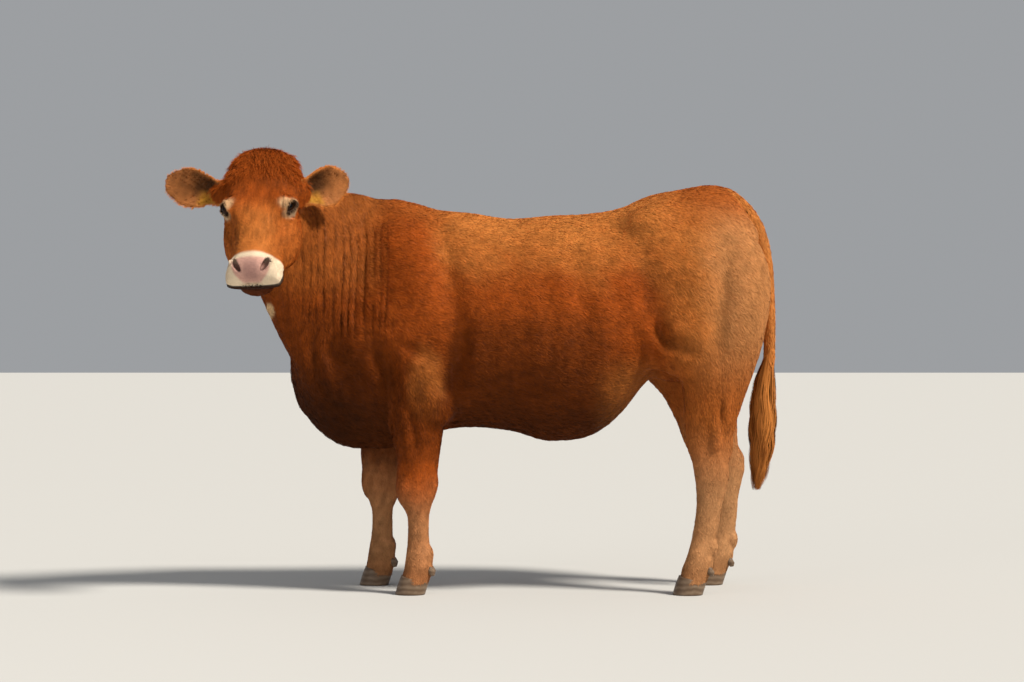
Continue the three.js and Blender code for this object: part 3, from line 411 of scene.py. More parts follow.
def shiftAlong(near, far):  # how far the right leg stands from the left one at each level
    z = [r[0] for r in near][::-1]
    return lambda at: np.interp(at, z, [(f[1] + f[2] - n[1] - n[2]) / 2 for n, f in zip(near, far)][::-1])


legShift = {"hind": shiftAlong(hindRows, farHindRows), "fore": shiftAlong(foreRows, farForeRows)}
trunk, neck, tail = trunkLoft(trunkRows, 60), neckLoft(neckRows, 70), tailLoft(tailRows, 14)
legs = {"hindLeft": legLoft(hindRows, 46), "hindRight": legLoft(farHindRows, 46),
        "foreLeft": legLoft(foreRows, 40), "foreRight": legLoft(farForeRows, 40)}
bodySolids = [trunk, neck, *legs.values()]
for place, radii, blend, turn, hollow in bodyForms.values():
    for side in (-1, 1):
        bodySolids.append(ball((place[0], side * place[1], place[2]), radii,
                               (side * turn[0], turn[1], side * turn[2]), blend, bool(hollow)))
for leg, place, radii, blend, turn in legForms:
    bodySolids.append(ball(place, radii, turn, blend))
    bodySolids.append(ball((place[0] + legShift[leg](place[2]), -place[1], place[2]), radii, turn, blend))
bodySolids.append(tail)
headSolids = [headLoft(skullRows, 30), headLoft(jawRows, 24), headLoft(muzzleRows, 16)]
for place, radii, blend, turn, hollow in headForms.values():
    for side in (1, -1) if place[0] else (1,):
        headSolids.append(ball(headPoint(side * place[0], place[1], place[2]), radii,
                               (turn[0], side * turn[1], side * turn[2]), blend, bool(hollow), headTurn))
earSolids = []
for side, own in earFrames.items():
    at = own["root"] + own["axes"][:, 0] * 6 - own["axes"][:, 2] * 12
    earSolids.append(ball(at, (46, 40, 22), (0, 0, 0), 14, False, own["axes"]))
    earSolids.append(earLeaf(side, 16))
wholeAnimal = bodySolids + headSolids + earSolids


def facingAxes(side, facing, long):  # a feature's outward way and its long way, mirrored for side -1
    facing = unit(vec(facing[0] * side, *facing[1:]))
    long = vec(long[0] * side, *long[1:])
    return facing, unit(long - facing * (long @ facing))


# the eyes' own axes: along the slit, up to the brow, out of the socket
eyeFrames = {}
for side, name in ((1, "left"), (-1, "right")):
    facing, long = facingAxes(side, eye["facing"], eye["long"])
    eyeFrames[name] = {"centre": headPoint(side * eye["place"][0], *eye["place"][1:]),
                       "axes": headTurn @ np.stack([long, np.cross(facing, long) * side, facing], 1)}


def pathDistance(p, path):  # to a line of points given in the same units, flat or in space
    path = np.array(path, float)
    best = np.full(len(p), 1e18)
    share = np.zeros(len(p))
    for i in range(len(path) - 1):
        step = path[i + 1] - path[i]
        t = np.clip(((p - path[i]) @ step) / (step @ step), 0, 1)
        d = ((p - path[i] - t[:, None] * step) ** 2).sum(1)
        share = np.where(d < best, (i + t) / (len(path) - 1), share)
        best = np.minimum(best, d)
    return np.sqrt(best), share


def ridge(d, width):
    return np.exp(-((d / width) ** 2))


# grooves and swells in the skin, on both sides: depth (minus stands proud), width, how far out from the middle it
# begins, and its line on the side plane as x and z
sideFolds = {
    "hollow before the shoulder": (22.5, 42, 60, [(-478, 880), (-470, 828), (-440, 790), (-400, 760)]),
    "hollow under the neck": (30, 44, 50, [(-600, 860), (-560, 800), (-520, 740), (-480, 690)]),
    "before the arm": (19.5, 26, 60, [(-425, 800), (-412, 720), (-404, 640), (-400, 560)]),
    "dewlap": (13.5, 16, 30, [(-640, 930), (-660, 820), (-640, 720), (-590, 630), (-520, 570)]),
    "dewlap, second": (9, 14, 40, [(-590, 720), (-560, 640), (-500, 590), (-440, 560)]),
    "point of the shoulder": (-8, 40, 60, [(-520, 850), (-505, 800)]),
    "edge of the shoulder": (7.5, 28, 60, [(-240, 1240), (-225, 1130), (-196, 1000), (-186, 880)]),
    "behind the shoulder": (16.5, 34, 60, [(-188, 880), (-196, 800), (-205, 720), (-212, 640)]),
    "shoulder muscle": (-12, 46, 60, [(-330, 1130), (-300, 1000), (-290, 880)]),
    "upper arm": (-10.5, 36, 60, [(-340, 820), (-310, 740), (-320, 660)]),
    "groove of the upper arm": (6, 18, 60, [(-400, 900), (-370, 840), (-310, 800), (-250, 780)]),
    "forearm muscle": (9, 13, 60, [(-345, 640), (-325, 560), (-316, 470)]),
    "front of the thigh": (8.5, 34, 60, [(425, 1190), (432, 1080), (448, 980), (470, 900)]),
    "flank to the stifle": (14, 22, 60, [(462, 913), (484, 866), (515, 838), (559, 828), (605, 800)]),
    "edge of the flank": (-9, 22, 60, [(420, 930), (460, 850), (505, 790)]),
    "thigh, long groove": (7, 26, 60, [(700, 1180), (694, 1080), (676, 970), (664, 860), (668, 760)]),
    "thigh muscle": (-12, 60, 60, [(600, 1120), (610, 1020), (610, 930)]),
    "hamstring": (-9, 26, 60, [(740, 1080), (744, 960), (740, 850)]),
    "behind the gaskin": (10.5, 12, 60, [(690, 660), (690, 590), (686, 520)]),
    "beside the tail": (12, 11, 26, [(620, 1300), (690, 1272), (748, 1234), (790, 1184), (812, 1110), (822, 1020),
                                     (826, 920), (822, 840)]),
    "rump": (-8.4, 40, 60, [(520, 1290), (620, 1280), (700, 1240)]),
    "short ribs": (10.5, 36, 60, [(250, 1200), (330, 1196), (400, 1180)]),
    "last rib": (6, 32, 60, [(190, 1130), (215, 1040), (232, 930), (225, 820), (190, 720)]),
    "rib": (3.0, 24, 60, [(90, 1100), (112, 1000), (124, 880), (112, 760)]),
    "rib again": (2.4, 24, 60, [(0, 1090), (20, 990), (30, 880), (16, 760)]),
    "paunch": (-6, 60, 60, [(150, 640), (260, 640), (340, 690)]),
}
curtain = {"apart": 25, "low": (-715, 835), "high": (-385, 1262), "depth": 6.5}


def neckCurtain(p):  # 0 to 1 in the thin upright folds of the neck
    u = p[:, 0] + 10 * np.sin(p[:, 2] / 120 + 1.3) + 0.05 * (p[:, 2] - 1050)
    tall = p * vec(1, 1, 0.26)
    wave = np.sin(2 * math.pi * u / curtain["apart"] + 1.9 * hills(tall, 130, 41))
    (front, low), (back, high) = curtain["low"], curtain["high"]
    inside = smooth(p[:, 0], front, front + 50) * smooth(-p[:, 0], -back, 40 - back)
    inside = inside * smooth(p[:, 2] + 0.25 * p[:, 0], low - 150, low - 60) * smooth(-p[:, 2], -high, 70 - high)
    apart = np.maximum(smooth(-toHead(p)[:, 2], 190, 230), smooth(p[:, 1], -300, -250))
    inside = inside * smooth(np.abs(p[:, 1]), 30, 90) * apart
    return smooth(wave, 0.15, 0.95) * inside * (0.6 + 0.4 * hills(tall, 52, 42))


# the same in the head's own axes, on both sides: across, down, out
headFolds = {
    "above the eye": (7, 5, [(72, 186, 6), (90, 178, -16), (108, 184, -46), (114, 200, -74)]),
    "above the eye again": (4, 4, [(60, 176, 14), (82, 164, -4), (104, 168, -34)]),
    "under the eye": (5, 5, [(92, 246, -18), (106, 242, -50), (112, 226, -80)]),
    "under the eye again": (3, 5, [(86, 262, -16), (102, 260, -50), (110, 246, -88)]),
    "tear line": (4, 6, [(80, 240, -6), (76, 268, -14), (78, 300, -40)]),
    "nose bone": (5, 12, [(52, 240, 2), (46, 300, -8), (44, 360, -14)]),
    "cheek bone": (-5, 12, [(100, 230, -80), (104, 280, -92), (92, 330, -96)]),
    "edge of the cheek": (6, 14, [(104, 170, -150), (112, 240, -190), (98, 300, -196)]),
    "jaw muscle": (5, 10, [(96, 300, -120), (98, 330, -150), (86, 340, -180)]),
    "nose wing": (5, 5, [(58, 424, -22), (76, 436, -44), (82, 456, -66), (72, 474, -84)]),
    "between nose and lip": (3, 4, [(20, 487, -76), (44, 482, -76), (66, 470, -84)]),
}
mouth = {"depth": 10, "width": 3.2, "from": 396}
nostril = {"centre": (46, 449, -34), "radii": (8, 24, 20), "long": (-0.62, 0.50, -0.60), "face": (0.20, 0.74, 0.66)}


def mouthLevel(q):  # height of the mouth slit out of the head, along the lips
    return -118 + 25 * smooth(q[:, 1], 396, 440) - 4 * (np.abs(q[:, 0]) / 60) ** 2


def hills(p, size, seed):  # smooth wandering value about -1 to 1, from a few crossed waves
    rng = np.random.default_rng(seed)
    total = np.zeros(len(p))
    for _ in range(6):
        way = unit(rng.normal(size=3))
        total += np.sin(p @ way * (2 * math.pi / size * rng.uniform(0.7, 1.4)) + rng.uniform(0, 6.3))
    return total / 3


def relief(p):  # what the skin's folds add to the field: plus goes in
    f = np.zeros(len(p))
    body = p[:, 0] > -730
    if body.any():
        b = p[body]
        g = hills(b, 260, 3) * 1.6 * smooth(b[:, 2], 480, 620) + curtain["depth"] * (neckCurtain(b) - 0.3)
        for name, (depth, width, begin, line) in sideFolds.items():
            line = np.array(line, float)
            low, high = line.min(0) - 3 * width, line.max(0) + 3 * width
            near = ((b[:, 0] > low[0]) & (b[:, 0] < high[0]) & (b[:, 2] > low[1]) & (b[:, 2] < high[1])
                    & (np.abs(b[:, 1]) > begin / 2))
            if near.any():
                d, share = pathDistance(b[near][:, [0, 2]], line)
                fade = np.sin(np.clip(share, 0, 1) * math.pi * 0.92 + 0.12) ** 0.7
                apart = np.abs(b[near][:, 1])
                fade = fade * smooth(apart, begin * 0.7, begin * 1.6)
                if name == "beside the tail":
                    fade = fade * smooth(-apart, -105, -60)
                else:
                    fade = fade * smooth(-b[near][:, 0], -770, -690)
                g[near] += depth * fade * (ridge(d, width) - 0.45 * ridge(d - 2.1 * width, width))
        f[body] += g
    q = toHead(p)
    face = (q[:, 1] > 120) & (q[:, 1] < 500) & (np.abs(q[:, 0]) < 150) & (q[:, 2] > -260) & (q[:, 2] < 60)
    if face.any():
        h = q[face]
        mirrored = np.c_[np.abs(h[:, 0]), h[:, 1:]]
        g = np.zeros(len(h))
        for depth, width, line in headFolds.values():
            d, share = pathDistance(mirrored, line)
            g += depth * ridge(d, width) * np.sin(np.clip(share, 0, 1) * math.pi * 0.9 + 0.16)
        slit = ridge(h[:, 2] - mouthLevel(h), mouth["width"]) * smooth(h[:, 1], mouth["from"], mouth["from"] + 22)
        g += mouth["depth"] * slit
        # the groove in the middle of the lip
        g += 3.5 * ridge(h[:, 0], 2.6) * smooth(h[:, 1], 470, 480) * smooth(h[:, 2], -124, -112)
        f[face] += g
    return f


noseHoles = []
nostrilAxes = {}
for side in (1, -1):
    facing, long = facingAxes(side, nostril["face"], nostril["long"])
    nostrilAxes[side] = headTurn @ np.stack([np.cross(long, facing), long, facing], 1)
    across, down, out = nostril["centre"]
    noseHoles.append(ball(headPoint(side * across, down, out), nostril["radii"], (0, 0, 0), 5, True,
                          nostrilAxes[side]))
    noseHoles.insert(0, ball(headPoint(side * (across + 12), down - 5, out - 2), (6, 21, 18), (0, 0, 0), 14, False,
                             nostrilAxes[side]))


def fieldOf(p, solids, start=400.0):  # the solids joined or hollowed one after another
    f = np.zeros(len(p)) + start
    for s in solids:
        pad = s["blend"] + 60
        near = np.all((p > s["low"] - pad) & (p < s["high"] + pad), axis=1)
        if near.any():
            d = s["distance"](p[near])
            f[near] = -softMin(-f[near], d, s["blend"]) if s["carve"] else softMin(f[near], d, s["blend"])
    return f


def slitOval(q):  # 1 on the edge of the bowed slit between the lids, in an eye's own axes
    long, high = eye["opening"]
    bow = q[:, 1] + 2.0 * (q[:, 0] / long) ** 2 - 0.5
    return np.hypot(q[:, 0] / long, bow / high)


def eyeField(p, f):  # lids that swell round each eye, and the slit between them
    for own in eyeFrames.values():
        q = (p - own["centre"]) @ own["axes"]
        r = np.linalg.norm(q, axis=1)
        near = r < 60
        if not near.any():
            continue
        n = q[near]
        high = eye["opening"][1]
        oval = slitOval(n)
        rim = ridge((oval - 1.22) * high, 4.5) * (n[:, 2] > 0) * (1 + 1.1 * smooth(-n[:, 1], 2, 10))
        rim = rim + 1.3 * ridge(np.hypot(n[:, 0] * 0.62, n[:, 1] - 8) - 17, 6) * smooth(n[:, 1], 6, 18)  # hooded brow
        hole = np.where(n[:, 2] > 4, (oval - 1) * high * 0.8, 99.0)
        hole = np.maximum(hole, 14 - r[near])
        f[near] = -softMin(-(f[near] - 2.6 * rim), hole, 3)
    return f


def coatDepth(p):  # how far the skin lies under the tips of the coat
    q = toHead(p)
    depth = 4.6 - 1.8 * smooth(-p[:, 2], -560, -430) - 1.0 * smooth(-p[:, 2], -200, -120)
    onHead = smooth(-p[:, 1], 235, 300) * smooth(-p[:, 0], 640, 720)
    onHead = onHead + smooth(-p[:, 1], 250, 300) * smooth(p[:, 2], 1240, 1290)
    face = 2.6 - 1.4 * smooth(q[:, 1], 330, 430) + 3.5 * smooth(-q[:, 1], -90, -40) * smooth(q[:, 2], -60, -20)
    depth = depth + (face - depth) * np.clip(onHead, 0, 1)
    for own in earFrames.values():
        e = (p - own["root"]) @ own["axes"]
        depth = depth + (1.1 - depth) * smooth(e[:, 0], 8, 40) * (np.abs(e[:, 1]) < 75) * (np.abs(e[:, 2]) < 60)
    onTail = smooth(p[:, 0], 828, 842)
    return depth + (3.0 - depth) * onTail


def skinField(p):
    f = fieldOf(p, wholeAnimal)
    near = f < 60
    if near.any():
        n = p[near]
        g = eyeField(n, fieldOf(n, noseHoles, f[near]))
        f[near] = g + relief(n) + coatDepth(n)
    return f


def inParts(work, p, size=30000):  # the same work on four cores
    parts = [p[i:i + size] for i in range(0, len(p), size)]
    with ThreadPoolExecutor(4) as pool:
        return np.concatenate(list(pool.map(work, parts)))


def gridAxis(*stretches):  # (from, to, step) one after another
    return np.concatenate([np.arange(a, b, step) for a, b, step in stretches])


def surfaceNet(axes, block=6):
    axes = [np.r_[a, a[-1] + (np.arange((-len(a)) % block) + 1) * (a[-1] - a[-2])] for a in axes]
    count = [len(a) // block for a in axes]
    middles = [a.reshape(-1, block).mean(1) for a in axes]
    spans = [a.reshape(-1, block)[:, -1] - a.reshape(-1, block)[:, 0] + (a[1] - a[0]) for a in axes]
    centres = np.stack(np.meshgrid(*middles, indexing="ij"), -1).reshape(-1, 3)
    reach = np.linalg.norm(np.stack(np.meshgrid(*spans, indexing="ij"), -1), axis=-1) / 2
    coarse = inParts(lambda p: fieldOf(p, wholeAnimal), centres).reshape(count)
    field = np.where(coarse < 0, -100.0, 100.0).astype(np.float32)
    for axis in range(3):
        field = np.repeat(field, block, axis)
    found = np.argwhere(np.abs(coarse) < reach * 1.5 + 22)
    cell = np.stack(np.meshgrid(*[np.arange(block)] * 3, indexing="ij"), -1).reshape(-1, 3)
    at = (found[:, None] * block + cell[None]).reshape(-1, 3)
    field[tuple(at.T)] = inParts(skinField, np.stack([axes[i][at[:, i]] for i in range(3)], 1))
    inside = field < 0
    nx, ny, nz = (n - 1 for n in field.shape)
    corners = [(i, j, k) for i in (0, 1) for j in (0, 1) for k in (0, 1)]
    held = sum(inside[i:i + nx, j:j + ny, k:k + nz].astype(np.int8) for i, j, k in corners)
    active = (held > 0) & (held < 8)
    cells = np.argwhere(active)
    ids = np.full((nx, ny, nz), -1, np.int32)
    ids[active] = np.arange(len(cells))
    total, hits = np.zeros((len(cells), 3)), np.zeros(len(cells))
    for corner in corners:
        for axis in range(3):
            if corner[axis]:
                continue
            other = list(corner)
            other[axis] = 1
            fa = field[tuple((cells + corner).T)].astype(float)
            fb = field[tuple((cells + other).T)].astype(float)
            cross = (fa < 0) != (fb < 0)
            where = np.tile(np.array(corner, float), (cross.sum(), 1))
            where[:, axis] += fa[cross] / (fa[cross] - fb[cross])
            total[cross] += where
            hits[cross] += 1
    place = total / hits[:, None] + cells
    points = np.stack([np.interp(place[:, i], np.arange(len(axes[i])), axes[i]) for i in range(3)], 1)
    quads = []
    for axis in range(3):
        cut = [slice(1, -1)] * 3
        cut[axis] = slice(0, -1)
        nextCut = list(cut)
        nextCut[axis] = slice(1, None)
        a, b = inside[tuple(cut)], inside[tuple(nextCut)]
        edge = np.argwhere(a != b)
        offset = [1, 1, 1]
        offset[axis] = 0
        g = edge + offset
        one, two = [i for i in range(3) if i != axis]
        ring = []
        for da, db in ((1, 1), (0, 1), (0, 0), (1, 0)):
            c = g.copy()
            c[:, one] -= da
            c[:, two] -= db
            ring.append(ids[tuple(c.T)])
        quad = np.stack(ring, 1)
        flip = b[tuple(edge.T)] ^ (axis == 1)
        quad[flip] = quad[flip][:, ::-1]
        quads.append(quad)
    quads = np.concatenate(quads)
    return points, np.concatenate([quads[:, [0, 1, 2]], quads[:, [0, 2, 3]]])


def settle(points, steps):  # moves points on to the field's zero level along its slope
    def one(p):
        for _ in range(steps):
            f = skinField(p)
            slope = np.stack([skinField(p + np.eye(3)[i] * 0.6) - f for i in range(3)], 1) / 0.6
            move = (f / np.maximum((slope**2).sum(1), 0.3))[:, None] * slope
            p = p - move * np.minimum(1, 6 / np.maximum(np.linalg.norm(move, axis=1), 1e-9))[:, None]
        return p

    return inParts(one, points, 12000)


def refine(points, faces, sizeAt):  # splits edges longer than the wanted size, so that no gap opens
    ring = np.stack([faces, np.roll(faces, -1, 1)], -1)  # three edges of each face
    flat = np.sort(ring.reshape(-1, 2), 1)
    edges, of = np.unique(flat, axis=0, return_inverse=True)
    of = of.reshape(-1, 3)
    middle = points[edges].mean(1)
    length = np.linalg.norm(points[edges[:, 0]] - points[edges[:, 1]], axis=1)
    split = length > sizeAt(middle)
    new = np.full(len(edges), -1)
    new[split] = len(points) + np.arange(split.sum())
    m = new[of]
    points = np.concatenate([points, middle[split]])
    made = []
    count = (m >= 0).sum(1)
    made.append(faces[count == 0])
    f, e = faces[count == 3], m[count == 3]
    made += [np.c_[f[:, 0], e[:, 0], e[:, 2]], np.c_[f[:, 1], e[:, 1], e[:, 0]], np.c_[f[:, 2], e[:, 2], e[:, 1]], e]
    for k in range(3):
        a, b, c = k, (k + 1) % 3, (k + 2) % 3
        only = (count == 1) & (m[:, a] >= 0)
        f, e = faces[only], m[only]
        made += [np.c_[f[:, a], e[:, a], f[:, c]], np.c_[e[:, a], f[:, b], f[:, c]]]
        both = (count == 2) & (m[:, c] < 0)
        f, e = faces[both], m[both]
        made += [np.c_[e[:, a], f[:, b], e[:, b]], np.c_[f[:, a], e[:, a], e[:, b]], np.c_[f[:, a], e[:, b], f[:, c]]]
    return points, np.concatenate(made)


def edgeSize(p):  # the longest edge allowed at each place
    q = toHead(p)
    size = np.full(len(p), 20.5)
    size = np.where((p[:, 0] < -380) & (p[:, 1] < -60) & (p[:, 2] > 830), 9.4, size)
    size = np.where((p[:, 0] > 620) & (p[:, 2] > 980), 14.5, size)
    size = np.where(p[:, 2] < 440, 13.0, size)
    onHead = (p[:, 1] < -300) & (q[:, 1] < 500) & (q[:, 1] > -60)
    nose = np.linalg.norm(np.c_[np.abs(q[:, 0]), q[:, 1:]] - nostril["centre"], axis=1)
    slit = np.abs(q[:, 2] - mouthLevel(q)) < 9
    eyes = np.min([np.linalg.norm(p - own["centre"], axis=1) for own in eyeFrames.values()], axis=0)
    for where, finer in ((onHead, 9.5), (onHead & (q[:, 1] > 395), 6.0), (nose < 36, 4.2),
                         (slit & onHead & (q[:, 1] > 392), 4.5), (eyes < 46, 4.0), (eyes < 31, 3.0)):
        size = np.where(where, finer, size)
    return size


axes = [gridAxis((-1150, -520, 6.3), (-520, 905, 14.0)), gridAxis((-740, -240, 6.0), (-240, 335, 14.0)),
        gridAxis((22, 500, 10.5), (500, 1050, 14.0), (1050, 1480, 7.0))]
points, faces = surfaceNet(axes)
say(f"net of {len(points)} points and {len(faces)} faces")
points = settle(points, 1)
for step in range(3):
    points, faces = refine(points, faces, edgeSize)
points = settle(points, 2)
say(f"skin of {len(points)} points and {len(faces)} faces")


def vertexNormals(points, faces):
    a, b, c = (points[faces[:, i]] for i in range(3))
    flat = np.cross(b - a, c - a)
    total = np.zeros_like(points)
    for axis in range(3):
        total[:, axis] = sum(np.bincount(faces[:, i], flat[:, axis], len(points)) for i in range(3))
    return unit(total)


def evened(values, faces, rounds):  # averages a value at each point with its neighbours
    pairs = np.concatenate([faces[:, [0, 1]], faces[:, [1, 2]], faces[:, [2, 0]]])
    count = np.bincount(pairs[:, 0], minlength=len(values)) + np.bincount(pairs[:, 1], minlength=len(values)) + 1.0
    for _ in range(rounds):
        total = values.copy()
        for axis in range(values.shape[1]):
            total[:, axis] += np.bincount(pairs[:, 0], values[pairs[:, 1], axis], len(values))
            total[:, axis] += np.bincount(pairs[:, 1], values[pairs[:, 0], axis], len(values))
        values = total / count[:, None]
    return values


normals = vertexNormals(points, faces)
if (normals * (points - points.mean(0)))[normals[:, 2] > 0.9].sum() < 0:
    faces = faces[:, ::-1]
    normals = -normals
partNames = ["trunk", "neck", "head", "earLeft", "earRight", *legs, "tail"]


def partOf(p):  # the part of the body that each point of the skin belongs to
    d = np.full((len(p), len(partNames)), 500.0)
    lofts = {"trunk": [trunk], "neck": [neck], "head": headSolids[:3], "tail": [tail]}
    lofts.update({name: [solid] for name, solid in legs.items()})
    for name, solids in lofts.items():
        d[:, partNames.index(name)] = fieldOf(p, [dict(s, blend=1.0) for s in solids], 500.0)
    for side in ("left", "right"):
        own = earFrames[side]
        e = (p - own["root"]) @ own["axes"]
        onEar = (e[:, 0] > 12) & (earLeaf(side, 1)["distance"](p) < 3.5)
        d[onEar, partNames.index("ear" + side.title())] = -400
    return d.argmin(1)[:, None]


part = inParts(partOf, points)[:, 0]
isPart = {name: part == i for i, name in enumerate(partNames)}
inHead = toHead(points)
earPlace = {s: (points - o["root"]) @ o["axes"] for s, o in earFrames.items()}

# each part laid out flat: along it, and round it
neckPlace, neckSide, _ = alongPath(points[:, :2], neck["rows"][:, 1:3])
neckWay = unit(np.stack([np.interp(neckPlace, np.arange(len(neck["rows"])), np.gradient(neck["rows"][:, i]))
                         for i in (1, 2)], 1))
tailPlace, tailSide, _ = alongPath(points[:, [0, 2]], tail["rows"][:, [1, 3]])
flatPlace = np.zeros((len(points), 2))


def lay(name, along, x, y, radius):
    own = isPart[name]
    flatPlace[own] = np.stack([along[own], np.arctan2(x[own], y[own]) * radius], 1)


lay("trunk", points[:, 0], points[:, 1], points[:, 2] - 860, 330)
lay("neck", neckPlace * 15, neckSide, points[:, 2] - 1000, 240)
lay("head", inHead[:, 1], inHead[:, 0], inHead[:, 2] + 100, 100)
lay("tail", tailPlace * 20, points[:, 1], tailSide, 24)
for name, solid in legs.items():
    rows = solid["rows"]
    middle = [np.interp(points[:, 2], rows[:, 0], (rows[:, i] + rows[:, i + 1]) / 2) for i in (1, 3)]
    lay(name, points[:, 2], points[:, 0] - middle[0], points[:, 1] - middle[1], 110)
for side, e in earPlace.items():
    own = isPart["ear" + side.title()]
    front = (normals @ earFrames[side]["axes"][:, 2]) > 0
    flatPlace[own] = np.stack([e[own, 0], e[own, 1] + np.where(front[own], 90, -90)], 1)

# the lie of the coat
lie = np.zeros_like(points)
lie[:] = (1, 0, -0.45)
lie[isPart["neck"]] = np.c_[-neckWay * 0.22, np.full(len(points), -1.0)][isPart["neck"]]
for name in legs:
    own = isPart[name]
    high = smooth(points[own, 2], 560, 1000)
    lie[own] = np.stack([0.12 + high * 0.7, np.zeros(own.sum()), -1 + 0.3 * high], 1)
down, out = headTurn[:, 1], headTurn[:, 2]
own = isPart["head"]
h = inHead[own]
lie[own] = down - out * 0.55 * smooth(np.abs(h[:, 0]), 40, 90)[:, None] + headTurn[:, 0] * (h[:, :1] / 160)
for side, o in earFrames.items():
    own = isPart["ear" + side.title()]
    lie[own] = o["axes"][:, 0] + o["axes"][:, 1] * (earPlace[side][own, 1:2] / 90)
lie[isPart["tail"]] = (0.1, 0, -1)
lie = evened(lie, faces, 14)
lie = unit(lie - normals * (lie * normals).sum(1, keepdims=True))
say("lie of the coat")


def linear(hexColour):  # sRGB hex to linear light
    c = np.array([int(hexColour[i:i + 2], 16) for i in (1, 3, 5)]) / 255
    return np.where(c <= 0.04045, c / 12.92, ((c + 0.055) / 1.055) ** 2.4)


# dark and hole serve as painted shade, and gold in part as painted light
coatColours = {
    "red": "#a04a14", "gold": "#c97c3a", "bay": "#6e3008", "dark": "#241003", "fawn": "#bd8f62",
    "cream": "#dcb98c", "pink": "#cf9c8c", "mauve": "#8d6661", "lid": "#2b160e", "hole": "#160a07",
    "earSkin": "#a4683a", "wax": "#b07a22", "whiteHair": "#e2cdb0",
}
shade = {k: linear(v) for k, v in coatColours.items()}


def padReach(h):  # 1 over the nose pad, which narrows towards its top, and 0 beside and under it
    half = 62 - 30 * smooth(-h[:, 2], 34, 82)
    return smooth(half - np.abs(h[:, 0]), -4, 7) * smooth(h[:, 2], -88, -72)


